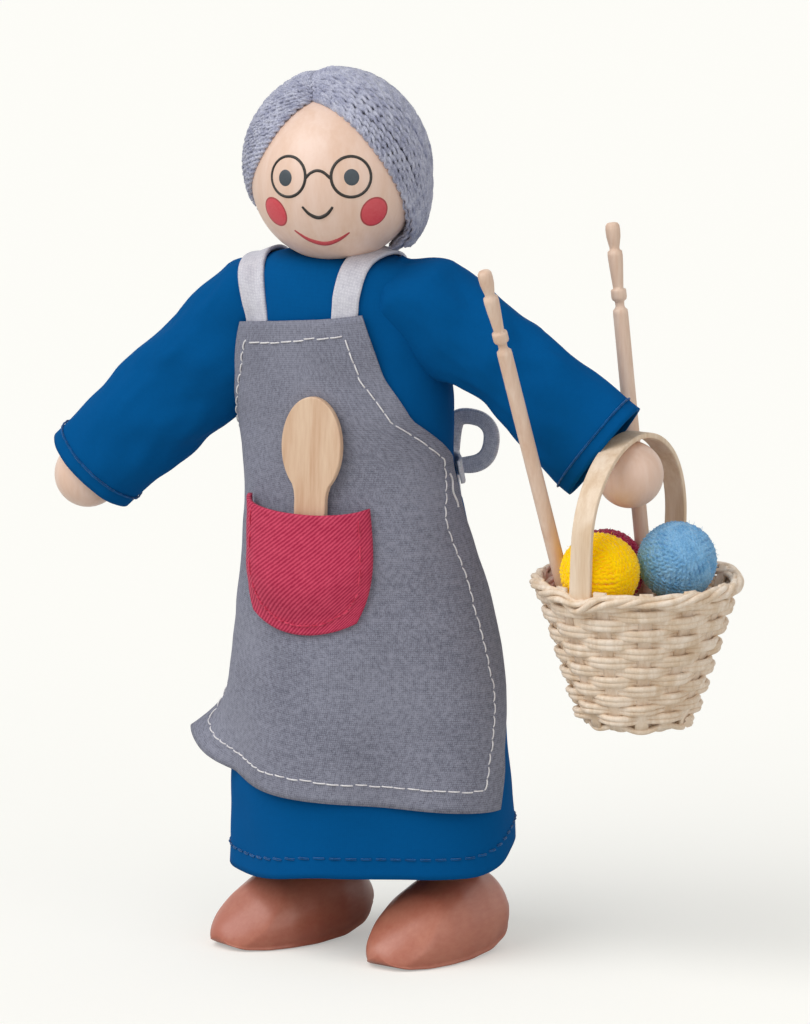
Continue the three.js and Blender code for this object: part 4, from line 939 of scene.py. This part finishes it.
for end, sign, less in (("A", 1, 1), ("B", -1, bow["smaller"])):
    for kind, plane in (("Loop", (0.7 * sign, -0.7, 0)), ("Tail", (sign * 0.3, 1, 0.1))):
        size = less if kind == "Loop" else 1
        points = [(sign * x * size, y, z * size) for x, y, z in bow[kind]]
        plane = Vector(plane).normalized()
        bm = clothGrid(6, bow["rows"][kind], lambda u, v: ribbonPoint(points, plane, bow["lean"][kind], u, v),
                       bow["width"], bow["length"][kind])
        apronSeams.append(addPiece("bow" + kind + end, thicken(bm, bow["thick"]), "ribbonGrey", "grey_cotton",
                                   "torso"))
bm = bmesh.new()
bmesh.ops.create_uvsphere(bm, u_segments=28, v_segments=18, radius=1)
setCut(bm, bm.loops.layers.uv.new("cut"), lambda co: (co.x * 2 * mm, co.z * 2 * mm))
for vert in bm.verts:
    x, y, z = vert.co
    ridge = 1 + bow["knotRidge"] * sin(7 * x + 2 * z)
    wide, deep, high = bow["knot"]
    vert.co = bowFrame @ Vector((wide * x * ridge, bow["knotBack"] + deep * y * ridge, high * z))
apronSeams.append(addPiece("bowKnot", bm, "ribbonGrey", "grey_cotton", "torso", "tie_bow"))
apronSeams += [bpy.data.objects[n] for n in ("rightStrapTape", "leftStrapTape", "apronCornerTack")]
print("pocket, straps, ties and bow made")


# Head and hands: turned balls with a drilled hole for the peg or the arm
def drilledBall(radius, holeRadius, holeDepth, segments, rings):
    # The hole is at the lower pole, a little narrower inside its rim
    bm = bmesh.new()
    bmesh.ops.create_uvsphere(bm, u_segments=segments, v_segments=rings, radius=radius)
    low = [v for v in bm.verts if v.co.z < 0 and hypot(v.co.x, v.co.y) < holeRadius]
    bmesh.ops.delete(bm, geom=low, context="VERTS")
    rim = [e for e in bm.edges if e.is_boundary]
    verts = {v for e in rim for v in e.verts}
    for drop, reach in ((None, 1), (0.25, 0.93), (holeDepth, 0.93)):
        if drop is not None:
            made = bmesh.ops.extrude_edge_only(bm, edges=rim)["geom"]
            verts = [g for g in made if isinstance(g, bmesh.types.BMVert)]
            rim = [g for g in made if isinstance(g, bmesh.types.BMEdge) and all(v in verts for v in g.verts)]
        for vert in verts:
            flat = Vector((vert.co.x, vert.co.y, 0)).normalized() * holeRadius * reach
            vert.co = (flat.x, flat.y, -sqrt(radius ** 2 - holeRadius ** 2) + (drop or 0))
    bmesh.ops.contextual_create(bm, geom=rim)
    bmesh.ops.recalc_face_normals(bm, faces=bm.faces)
    return bm


head = head @ Matrix.Translation((doll["headShift"], 0, 0))
bm = drilledBall(doll["headRadius"], *doll["headHole"], 96, 64)
bmesh.ops.transform(bm, matrix=head, verts=bm.verts)
addPiece("headBall", bm, "varnishedBirch", "pale_wood", "head", "head_ball")
for side in ("right", "left"):
    centre, direction = handPlace(side)
    bm = drilledBall(doll["handRadius"] * doll["handGrown"], *doll["handHole"], 56, 36)
    bmesh.ops.transform(bm, verts=bm.verts, matrix=Matrix.Translation(centre)
                        @ direction.to_track_quat("Z", "Y").to_matrix().to_4x4())
    addPiece(side + "HandBall", bm, "varnishedBirch", "pale_wood", side + "_forearm", side + "_hand")

# Face: prints of ink on the ball, placed by degrees to her left and up from straight ahead
face = {
    "lens": [(-22.7, 13.0), (24.1, 12.2)], "lensRadius": 2.72, "sunk": 0.09,
    "pupil": [(-24.3, 11.9), (24.2, 11.8)], "pupilSize": (1.02, 1.08), "raised": 0.06,
    "cheek": [(-36.1, -13.4), (39.6, -14.8)], "cheekSize": (1.9, 1.98), "cheekTilt": (8, 0), "rimWidth": 0.14,
    "rimRaised": 0.035, "lineRadius": 0.22,
    # radius, number of points, swelling at the ends and in the middle
    "lines": {
        "bridge": (0.22, 30, (1, 0), "blackInk",
                   [(-8.1, 12.7), (-4.9, 15.9), (-0.1, 17.7), (4.8, 16.3), (9.5, 12.1)]),
        "nose": (0.26, 30, (0.7, 0.4), "blackInk",
                 [(-11.7, -7.2), (-7.0, -12.6), (-0.8, -15.2), (5.4, -12.8), (9.8, -7.6)]),
        "mouth": (0.36, 40, (0.4, 0.62), "mouthInk",
                  [(-22.7, -26.4), (-12.6, -34.4), (0.3, -38.2), (12.0, -35), (21.2, -28.8)]),
    },
}


def onBall(yaw, pitch, off=0.0):
    a, b = radians(yaw), radians(pitch)
    r = doll["headRadius"] + off
    return head @ Vector((r * sin(a) * cos(b), -r * cos(a) * cos(b), r * sin(b)))


def spotPoint(yaw, pitch, x, y, off):
    a, b = radians(yaw), radians(pitch)
    out = Vector((sin(a) * cos(b), -cos(a) * cos(b), sin(b)))
    side = upward.cross(out).normalized()
    up = out.cross(side)
    return head @ ((out * doll["headRadius"] + side * x + up * y).normalized() * (doll["headRadius"] + off))


def inkSpot(name, place, size, off, finish, tilt=0.0):
    bm = bmesh.new()
    bmesh.ops.create_circle(bm, cap_ends=True, cap_tris=False, segments=48, radius=1)
    for _ in range(3):
        bmesh.ops.inset_region(bm, faces=[f for f in bm.faces if len(f.verts) > 4], thickness=0.22, use_boundary=True)
    c, s = cos(radians(tilt)), sin(radians(tilt))
    for vert in bm.verts:
        x, y = vert.co.x * size[0], vert.co.y * size[1]
        edge = 1 - min(1, vert.co.xy.length)
        vert.co = spotPoint(*place, x * c - y * s, x * s + y * c, off * min(1, 0.15 + edge * 6))
    bmesh.ops.recalc_face_normals(bm, faces=bm.faces)
    bm.normal_update()
    faceOut(bm, head.translation)
    addPiece(name, bm, finish, "pale_wood", "head")


def inkLine(name, points, radius, finish, closed=False, swell=None):
    sweep(name, [points], roundSection(radius, 10), finish, "pale_wood", "head", closed=closed, radii=swell)


for k, name in enumerate(("right", "left")):
    inkLine(name + "LensInk", [spotPoint(*face["lens"][k], *circle(face["lensRadius"], i, 72), -face["sunk"])
                               for i in range(72)], face["lineRadius"], "blackInk", closed=True)
    inkSpot(name + "PupilInk", face["pupil"][k], face["pupilSize"], face["raised"], "pupilInk")
    inkSpot(name + "CheekRimInk", face["cheek"][k], [s + face["rimWidth"] for s in face["cheekSize"]],
            face["rimRaised"], "cheekRim", face["cheekTilt"][k])
    inkSpot(name + "CheekInk", face["cheek"][k], face["cheekSize"], face["raised"], "cheekInk", face["cheekTilt"][k])
for name, (radius, count, (ends, middle), finish, places) in face["lines"].items():
    flat = [(x, y, 0) for x, y in places]
    drawn = [onBall(*curvePoint(flat, i / (count - 1)).xy, -face["sunk"]) for i in range(count)]
    inkLine(name + "Ink", drawn, radius, finish, swell=lambda k, t: ends + middle * sin(pi * t))
print("head, face and hands made")


# Hair: two-ply wool laid from a parting over the crown down to the nape, over a cap whose darker colour is painted
# shade between the strands
hair = {
    "side": 1.5, "top": 3.3, "back": 3.2, "left": 0.05, "bottom": -8.5, "strand": 0.42, "ply": 3.2, "perSide": 62,
    "parting": -1.85, "low": {1: -0.74, -1: -0.42}, "lowBehind": -0.64, "hang": {1: 1.5, -1: 0}, "thin": 0.62,
    "length": 30, "perTurn": 10, "capSunk": 0.52, "inner": 18, "knots": 26, "knotLength": 22,
    "starts": (80, 62, 1.15), "ends": (92, 86, 0.9), "bulge": 0.5, "ragged": 0.12,
    "forward": [(-9, 0.2), (-4, 1.0), (0, 3.4), (3, 4.3), (7, 4.2), (10, 2.2), (11, 1.0)],
    "section": [(1, 0), (0.74, 0.52), (0, 0.3), (-0.74, 0.52), (-1, 0), (-0.74, -0.52), (0, -0.3), (0.74, -0.52)],
}


def hairShell(direction):
    # Thickness of the hair over the ball in a direction of the head's own frame
    r = doll["headRadius"]
    reach = (r + hair["side"], r + (hair["back"] + hair["side"]) / 2, r + (hair["top"] + hair["side"]) / 2)
    centre = Vector((hair["left"], (hair["back"] - hair["side"]) / 2, (hair["top"] - hair["side"]) / 2))
    d = direction.normalized()
    a = sum((d[i] / reach[i]) ** 2 for i in range(3))
    b = -2 * sum(d[i] * centre[i] / reach[i] ** 2 for i in range(3))
    c = sum((centre[i] / reach[i]) ** 2 for i in range(3)) - 1
    return (-b + sqrt(b * b - 4 * a * c)) / (2 * a) - r


def hairPath(sign, k, t, lift=0.0):
    # k runs from the hairline by the face to the middle of the back, t from the parting to the ends
    front, behind = [radians(first + more * k ** power) for first, more, power in (hair["starts"], hair["ends"])]
    start = Vector((hair["parting"] / 11, -cos(front), sin(front)))
    low = mix(hair["low"][sign], hair["lowBehind"], ease((k - 0.25) / 0.5))
    flat = sqrt(1 - low * low)
    end = Vector((sign * sin(behind) * flat, -cos(behind) * flat, low))
    angle = start.angle(end)
    direction = (start * sin((1 - t) * angle) + end * sin(t * angle)) / sin(angle)
    bulge = hair["bulge"] * sin(pi * min(1, t * 1.05)) * (1 - k) ** 2.2
    direction = (direction + Vector((sign * 0.05 * bulge, -bulge, 0))).normalized()
    grown = mix(hair["thin"], hairShell(direction), ease((k + 0.03) / 0.2))
    grown *= 1 - 0.22 * ease((0.1 - t) / 0.1) * (1 - k)
    grown += hair["hang"][sign] * ease(-direction.z / 0.75) * (1 - k)
    return head @ (direction * (doll["headRadius"] + grown - hair["strand"] + lift))


def outerStrands(sign):
    paths = []
    count = int(hair["length"] / hair["ply"] * hair["perTurn"])
    for n in range(hair["perSide"]):
        k = n / (hair["perSide"] - 1)
        wobble, seed = random.uniform(-0.3, 0.3), random.uniform(0, 50)
        over = random.uniform(-0.05, 0.06)
        points = []
        for i in range(count):
            t = i / (count - 1)
            near = min(1, max(0, k + 0.004 * wobble + 0.005 * drift(t * 3, seed, 0)))
            points.append(hairPath(sign, near, t, over + hair["ragged"] * drift(t * 6, seed, 4)))
        paths.append(points)
    return paths


def innerStrands():
    # on her left, so that her side hair is full down to the face
    paths = []
    for n in range(hair["inner"]):
        k, lift = n / 50, -0.75 - 0.35 * (n % 2)
        paths.append([hairPath(1, k, i / 93, lift * ease(i / 40)) for i in range(94)]
                     + [hairPath(1, k, 1 + i / 93, lift) for i in (2, 4, 6)])
    return paths


def makeHair():
    # each strand is two plies twisted together, so its section has a waist
    section = [(x * hair["strand"], y * hair["strand"] * 1.15) for x, y in hair["section"]]
    twist = 2 * pi / hair["perTurn"]
    for sign, name in ((1, "hairStrandsLeft"), (-1, "hairStrandsRight")):
        paths = outerStrands(sign) + (innerStrands() if sign > 0 else [])
        sizes = [random.uniform(0.92, 1.1) for _ in paths]
        speeds = [random.uniform(0.85, 1.2) for _ in paths]
        sweep(name, paths, section, "hairWool", "hair_yarn", "head",
              tilts=lambda k, i: k * 1.7 + i * twist * speeds[k],
              radii=lambda k, t: sizes[k] * (1.0 if 0.02 < t < 0.985 else 0.75))
    # cap under the strands, so that no ball shows between them; its darker colour is painted shade in the gaps
    bm = bmesh.new()
    bmesh.ops.create_uvsphere(bm, u_segments=64, v_segments=48, radius=1)
    gone = []
    for vert in bm.verts:
        d = vert.co.normalized()
        line = along(hair["forward"], d.z * 11, 1)
        if -d.y * 11 > line - 0.5 or d.z * 11.5 < hair["bottom"] + 0.8:
            gone.append(vert)
        else:
            near = ease((line - 0.5 + d.y * 11) / 3)
            hung = hair["hang"][1 if d.x > 0 else -1] * ease(-d.z / 0.75) * ease(1 - abs(d.y + 0.3) / 0.9)
            vert.co = d * (doll["headRadius"] + 0.1 + (max(0.0, hairShell(d) - hair["capSunk"]) + hung) * near)
    bmesh.ops.delete(bm, geom=gone, context="VERTS")
    bmesh.ops.transform(bm, matrix=head, verts=bm.verts)
    bm.normal_update()
    addPiece("hairCap", bm, "hairShade", "hair_yarn", "head", "hair")
    # parting: short crossed strands over the line where both sides meet
    knots = []
    for n in range(hair["knots"]):
        k, count = n / hair["knots"] * 0.94, hair["knotLength"]
        knots.append([hairPath(1, k, t / count * 0.1, 0.2) for t in range(count, -1, -1)]
                     + [hairPath(-1, k + 0.02, t / count * 0.1, 0.2) for t in range(1, count + 1)])
    sweep("hairParting", knots, section, "hairWool", "hair_yarn", "head", tilts=lambda k, i: i * 0.7,
          radii=lambda k, t: 0.75 + 0.2 * sin(pi * t))


makeHair()
print("hair made")


# Basket: stakes with canes woven round them in pairs, a rolled border and a woven floor
basket = {
    "yaw": -4, "rim": 12.8, "bottom": 6.8, "height": 19.2, "stakes": 13, "rows": 13, "weave": 0.58, "cane": 0.52,
    "pairGap": 0.33, "stakeWidth": 1.8, "stakeThick": 0.45, "floorCane": 0.5, "floorTurns": 5, "floorRise": 0.55,
    "floorPoints": 619, "borderCane": 0.48, "borderPoints": 260, "dipAngle": 264, "touchGap": 0.3, "wallCad": 1,
    "handleWidth": 3, "handleThick": 0.7, "handleInWall": 5, "handlePeak": 19.2, "handleSideways": -1.1,
    "handleShift": (-1.4, -0.8), "handleBevel": 0.14, "endRoom": 0.9, "uneven": 0.22,
}
handCentre = handPlace("left")[0]
yaw = radians(basket["yaw"])
basketFrame = Matrix.Translation((
    handCentre.x - basket["handleSideways"] * cos(yaw), handCentre.y - basket["handleSideways"] * sin(yaw),
    handCentre.z + doll["handRadius"] + basket["touchGap"] + basket["wallCad"] - basket["handlePeak"],
)) @ turn(basket["yaw"], "Z")


def wallRadius(z):
    return basket["rim"] + (basket["rim"] - basket["bottom"]) * z / basket["height"]


def inBasket(angle, radius, z):
    return basketFrame @ Vector((radius * cos(angle), radius * sin(angle), z))


def weaverPaths(index):
    # one of the two canes that wind up the wall, before one stake and behind the next
    points = []
    rows, n = basket["rows"], basket["stakes"]
    low = -basket["height"] + basket["endRoom"]
    pitch = (-basket["endRoom"] - low) / rows
    steps = rows * n * 7
    for i in range(steps + 1):
        a = 2 * pi * rows * i / steps
        z = low + pitch * a / (2 * pi) + (2 * index - 1) * basket["pairGap"]
        z += basket["uneven"] * drift(a * 1.3, 7.7 * index, 1)
        swing = basket["weave"] * cos(n * a / 2) + 0.14 * drift(a * 2.1, 3 + index, 9)
        points.append(inBasket(a, wallRadius(z) + swing, z))
    return [points]


def stakePoint(k, u, v):
    z = -basket["height"] + 0.3 + (basket["height"] + 0.2) * v
    r = wallRadius(z)
    across = basket["stakeWidth"] * (u - 0.5)
    return inBasket(2 * pi * k / basket["stakes"] + across / r, r + 0.1 * drift(v * 4, k, 1), z)


def allStakes():
    whole = bmesh.new()
    for k in range(basket["stakes"]):
        bm = clothGrid(4, 20, lambda u, v: stakePoint(k, u, v), 2, 20, middle=basketFrame @ Vector((0, 0, -10)))
        mesh = meshOf("stake", thicken(bm, basket["stakeThick"]))
        whole.from_mesh(mesh)
        bpy.data.meshes.remove(mesh)
    return whole


def borderPoint(a, j):
    # four canes rolled round one another, pressed down a little where the handle goes in
    roll = 6 * a + 2 * pi * j / 4 + 0.9 * drift(2 * cos(a), 2 * sin(a), j)
    lie = drift(3 * cos(a), 3 * sin(a), 5 + 2 * j)
    dip = -1.1 * exp(-((a - radians(basket["dipAngle"])) / 0.2) ** 2)
    return inBasket(a, basket["rim"] + 0.25 + 0.5 * cos(roll) + 0.12 * lie, -0.4 + 0.4 * lie + dip + 0.55 * sin(roll))


def floorPoint(i):
    a = 2 * pi * basket["floorTurns"] * i / basket["floorPoints"]
    r = 0.9 + (basket["bottom"] - 0.9) * i / basket["floorPoints"]
    return inBasket(a, r, -basket["height"] + basket["floorRise"] + 0.35 * cos(basket["stakes"] * a / 2))


def spokePath(k):
    return [inBasket(2 * pi * k / basket["stakes"], 0.2 + (basket["bottom"] - 0.2) * i / 8,
                     -basket["height"] + basket["floorRise"]) for i in range(9)]


def handlePoint(u, v):
    # up one side from inside the wall, over in a half round and down the other
    r = basket["rim"] + 0.05
    straight = basket["handlePeak"] - r
    legs = basket["handleInWall"] + straight
    arch = pi * r
    s = v * (2 * legs + arch)
    if s < legs:
        z, y = -basket["handleInWall"] + s, -r
        if z < 0:
            y = -wallRadius(z) - 0.05
    elif s > legs + arch:
        z = straight - (s - legs - arch)
        y = r if z > 0 else wallRadius(z) + 0.05
    else:
        t = (s - legs) / r
        y, z = -r * cos(t), straight + r * sin(t)
    width = basket["handleWidth"] * (1 + 0.05 * drift(v * 6, 2, 3))
    low, high = basket["handleShift"]
    shifted = low + (high - low) * max(0, z) / 19
    return basketFrame @ Vector((width * (u - 0.5) + shifted + 0.15 * drift(v * 4, 8, 1), y, z))


for index, name in enumerate(("caneWeaverA", "caneWeaverB")):
    sweep(name, weaverPaths(index), roundSection(basket["cane"], 8, 0.8), "splitCane", "cane", "basket",
          radii=lambda k, t: 1.0 + 0.16 * drift(t * 300, 5, 2))
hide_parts("basket_bowl")
addPiece("caneStakes", allStakes(), "splitCane", "cane", "basket")
border = [[borderPoint(2 * pi * i / basket["borderPoints"], j) for i in range(basket["borderPoints"])]
          for j in range(4)]
sweep("caneBorder", border, roundSection(basket["borderCane"], 8, 0.85), "splitCane", "cane", "basket", closed=True,
      radii=lambda k, t: 1 + 0.2 * drift(7 * cos(2 * pi * t), 7 * sin(2 * pi * t), k))
sweep("caneFloor", [[floorPoint(i) for i in range(basket["floorPoints"] + 1)]],
      roundSection(basket["floorCane"], 8, 0.8), "splitCane", "cane", "basket")
sweep("caneSpokes", [spokePath(k) for k in range(basket["stakes"])], roundSection(basket["floorCane"], 8, 0.55),
      "splitCane", "cane", "basket")
bm = clothGrid(8, 110, handlePoint, 3.3, 60, middle=basketFrame @ Vector((0, 0, 3)))
strip = addPiece("handleStrip", thicken(bm, basket["handleThick"]), "handleCane", "cane", "basket", "basket_handle")
bevel = strip.modifiers.new("softEdge", "BEVEL")
bevel.width, bevel.segments, bevel.limit_method = basket["handleBevel"] * mm, 2, "ANGLE"
print("basket woven")

# Yarn balls: groups of turns wound one over another, with loose fibres standing off
yarn = {
    "radius": 5.2, "strand": 0.4, "turns": 5, "groups": 18, "hairs": 220, "ringPoints": 90, "twists": 18,
    "fibre": 0.045, "sunk": 0.45, "coreSunk": 0.35, "layers": (0.3, 0.42), "pitch": 1.45, "starts": (-2.6, 0.6),
    "tilt": 0.03, "fibreLength": (0.5, 1.2),
    "section": [(1, 0), (0.5, 0.5), (-0.5, 0.5), (-1, 0), (-0.5, -0.5), (0.5, -0.5)],
    "balls": {"yellow": ((-1.6, -7, 1.9), 3), "blue": ((5.1, 1.6, 2.6), 5), "red": ((-6.1, 2.4, 0.2), 8)},
}


def anyWay():
    return Vector([random.gauss(0, 1) for _ in range(3)]).normalized()


def windTurns(centre, outer):
    loops = []
    for g in range(yarn["groups"]):
        axis = anyWay()
        side = axis.orthogonal().normalized()
        other = axis.cross(side)
        layer = outer - yarn["layers"][0] + yarn["layers"][1] * (g / (yarn["groups"] - 1))
        start = random.uniform(*yarn["starts"])
        for k in range(yarn["turns"]):
            off = start + k * yarn["strand"] * yarn["pitch"]
            ring = sqrt(max(0.5, layer * layer - off * off))
            tilt, turned = random.uniform(-yarn["tilt"], yarn["tilt"]), random.uniform(0, 6)
            angles = [2 * pi * i / yarn["ringPoints"] for i in range(yarn["ringPoints"])]
            loops.append([centre + (axis * (off + tilt * ring * cos(a + turned)) + side * ring * cos(a)
                                    + other * ring * sin(a)) for a in angles])
    return loops


def looseFibres(centre, outer):
    hairs = []
    for _ in range(yarn["hairs"]):
        out = anyWay()
        bend = Matrix.Rotation(random.uniform(0, 6.28), 3, out) @ out.orthogonal().normalized()
        length = random.uniform(*yarn["fibreLength"])
        hairs.append([centre + out * (outer + 0.1 + length * t * 0.6) + bend * (length * (t - 0.35 * t * t) * 0.8)
                      for t in (0, 0.33, 0.66, 1)])
    return hairs


for colour, (place, seed) in yarn["balls"].items():
    look = (colour + "Wool", colour + "_yarn", colour + "_ball")
    centre = basketFrame @ Vector(place)
    random.seed(seed)
    outer = yarn["radius"] - yarn["sunk"]
    section = [(x * yarn["strand"] * 1.15, y * yarn["strand"] * 1.2) for x, y in yarn["section"]]
    sweep(colour + "YarnTurns", windTurns(centre, outer), section, *look, closed=True,
          tilts=lambda k, i: i * 2 * pi * yarn["twists"] / yarn["ringPoints"])
    bm = bmesh.new()
    bmesh.ops.create_icosphere(bm, subdivisions=4, radius=outer - yarn["coreSunk"])
    for vert in bm.verts:
        vert.co = centre + vert.co * (1 + 0.02 * noise.noise(vert.co * 0.9))
    addPiece(colour + "YarnCore", bm, *look, "yarn_ball_" + colour)
    sweep(colour + "YarnFuzz", looseFibres(centre, outer), roundSection(yarn["fibre"], 3), *look,
          radii=lambda k, t: 1 - 0.7 * t)
print("yarn wound")

# Needles: straight shaft with a turned head, spun from its outline
needle = {
    "tilts": {"front": (-0.105, -0.277, 0.955), "back": (-0.132, 0.0385, 0.9905)},
    "feet": {"front": (-6.5, -4, -8.8), "back": (-2.25, 7.8, -8.9)},
    "outline": [(0, 0), (0.45, 0.1), (0.6, 0.5), (0.8, 1.4), (0.97, 3), (1, 5), (1, 42), (0.96, 42.5), (0.66, 42.8),
                (0.59, 43.1), (0.62, 43.6), (0.92, 43.85), (1.02, 44.1), (1.02, 45), (0.98, 45.2), (0.7, 45.3),
                (0.7, 45.6), (0.8, 46.8), (0.93, 48.4), (1, 49.6), (0.96, 50.2), (0.68, 50.4), (0.66, 50.7),
                (0.78, 51.3), (0.93, 52.1), (0.97, 53), (0.92, 53.6), (0.7, 53.92), (0.4, 54), (0, 54)],
}
for name in ("front", "back"):
    bm = bmesh.new()
    verts = [bm.verts.new((r, 0, z)) for r, z in needle["outline"]]
    edges = [bm.edges.new(pair) for pair in zip(verts, verts[1:])]
    bmesh.ops.spin(bm, geom=verts + edges, cent=(0, 0, 0), axis=(0, 0, 1), angle=2 * pi, steps=28, use_merge=True)
    bmesh.ops.remove_doubles(bm, verts=bm.verts, dist=1e-4)
    bmesh.ops.recalc_face_normals(bm, faces=bm.faces)
    lean = upward.rotation_difference(Vector(needle["tilts"][name])).to_matrix().to_4x4()
    bmesh.ops.transform(bm, verts=bm.verts, matrix=basketFrame @ Matrix.Translation(needle["feet"][name]) @ lean)
    addPiece(name + "Needle", bm, "needleBirch", "pale_wood", name + "_needle", "knitting_needle_" + name)

# Spoon: stamped flat from birch, edges eased
spoon = {"halfWidth": 4.3, "halfHeight": 6.5, "handle": 4.5, "length": 24.2, "thick": 1.0, "above": 7.9, "x": -3.1,
         "tilt": 3.6, "clear": 0.35, "easing": 0.18, "bowlFrom": -52, "bowlSweep": 284, "bowlPoints": 45}


def makeSpoon():
    foot, half = spoon["halfHeight"] - spoon["length"], spoon["handle"] / 2
    bowl = [radians(spoon["bowlFrom"] + spoon["bowlSweep"] * i / (spoon["bowlPoints"] - 1))
            for i in range(spoon["bowlPoints"])]
    neck = [(-half - 0.12, -6.0), (-half, -6.9), (-half, -10.5), (-half - 0.05, foot + 0.6), (-half + 0.5, foot)]
    outline = [(spoon["halfWidth"] * cos(a), spoon["halfHeight"] * sin(a)) for a in bowl]
    outline += neck + [(-x, y) for x, y in reversed(neck)]
    bm = bmesh.new()
    made = bmesh.ops.extrude_face_region(bm, geom=[bm.faces.new([bm.verts.new((x, y, 0)) for x, y in outline])])
    bmesh.ops.translate(bm, vec=(0, 0, spoon["thick"]),
                        verts=[g for g in made["geom"] if isinstance(g, bmesh.types.BMVert)])
    bmesh.ops.recalc_face_normals(bm, faces=bm.faces)
    rim = [e for e in bm.edges if all(abs(f.normal.z) > 0.9 or abs(f.normal.z) < 0.1 for f in e.link_faces)
           and len({abs(f.normal.z) > 0.9 for f in e.link_faces}) == 2]
    bmesh.ops.bevel(bm, geom=rim, offset=spoon["easing"], offset_type="OFFSET", segments=3, profile=0.5,
                    affect="EDGES", material=-1, clamp_overlap=True)
    bmesh.ops.translate(bm, vec=(0, -foot, 0), verts=bm.verts)
    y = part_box("wooden_spoon")[1].y / mm - shift.y - spoon["clear"]
    place = Matrix.Translation((spoon["x"], y, pocketTop + spoon["above"] + foot)) @ turn(90 - spoon["tilt"], "X")
    bmesh.ops.transform(bm, matrix=place, verts=bm.verts)
    addPiece("flatSpoon", bm, "spoonBirch", "pale_wood", "spoon", "wooden_spoon", smooth=False)


makeSpoon()
print("needles and spoon made")

# Shoes: carved and painted clogs, a little flattened at the toe
shoe = {
    "length": 24.6, "width": 12.6, "height": 10.8, "heelBehind": 7.2, "spread": 10.2, "flatShare": 0.45,
    "yaw": {"right": -27, "left": -13}, "closing": 0.02, "reach": 0.012, "grid": (84, 70), "cut": (30, 25),
    "flatAt": (0.52, 4.6), "flatNormal": (0.25, -0.72, 0.62),
    "stations": [(0.03, 0.5, 0.62, 0.36), (0.06, 0.64, 0.78, 0.25), (0.13, 0.8, 0.93, 0.14), (0.28, 0.92, 1, 0.03),
                 (0.48, 1, 0.96, 0), (0.64, 0.98, 0.83, 0), (0.78, 0.84, 0.66, 0), (0.9, 0.58, 0.5, 0.02),
                 (0.97, 0.32, 0.37, 0.1), (1, 0.14, 0.29, 0.18)],
    "profile": [(-0.78, 0), (-0.94, 0.09), (-1, 0.28), (-0.95, 0.52), (-0.78, 0.76), (-0.5, 0.93), (-0.17, 1),
                (0.17, 1), (0.5, 0.93), (0.78, 0.76), (0.95, 0.52), (1, 0.28), (0.94, 0.09), (0.78, 0)],
}


def shoePoint(side, u, v):
    profile = shoe["profile"]
    count = len(profile)
    i, f = int(u * count) % count, u * count - int(u * count)
    x, z = [spline(*[profile[(i + j) % count][axis] for j in (-1, 0, 1, 2)], f) for axis in (0, 1)]
    z = max(0.0, z)
    if i == count - 1:
        x, z = profile[-1][0] * (1 - f) + profile[0][0] * f, 0.0
    closing = min(1.0, min(v, 1 - v) / shoe["closing"]) ** 0.5
    wide, high, low = [smoothAlong(shoe["stations"], v, column, shoe["reach"]) for column in (1, 2, 3)]
    low, high = low * shoe["height"], high * shoe["height"]
    middle = (low + high) / 2
    low, high = middle + (low - middle) * closing, middle + (high - middle) * closing
    spot = Vector((x * (wide * closing) * shoe["width"] / 2, shoe["heelBehind"] - v * shoe["length"],
                   low + z * (high - low)))
    # the carver's flat on the toe
    share, high = shoe["flatAt"]
    flatNormal = Vector(shoe["flatNormal"]).normalized()
    over = (spot - Vector((0, -shoe["length"] * share, high))).dot(flatNormal)
    if over > 0:
        spot -= flatNormal * over * shoe["flatShare"]
    return Matrix.Translation((signs[side] * shoe["spread"], 0, 0)) @ turn(shoe["yaw"][side], "Z") @ spot


for side in ("right", "left"):
    bm = clothGrid(*shoe["grid"], lambda u, v: shoePoint(side, u, v), *shoe["cut"], wrapped=True,
                   middle=(signs[side] * shoe["spread"], -4, 4))
    bmesh.ops.smooth_vert(bm, verts=[v for v in bm.verts if v.co.z > 0.3], factor=0.5, use_axis_x=True,
                          use_axis_y=True, use_axis_z=True)
    addPiece(side + "Clog", bm, "brownShoePaint", "brown_paint", side + "_shin", side + "_shoe")

# Pieces that keep the part's own shape: the wooden body and limbs and their brass pins
for name, node in frame["nodes"].items():
    node.data.materials.clear()
    node.data.materials.append(finishes["drawnBrass" if name.endswith("_pin") else "bareBeech"])
print("shoes made, limbs finished")
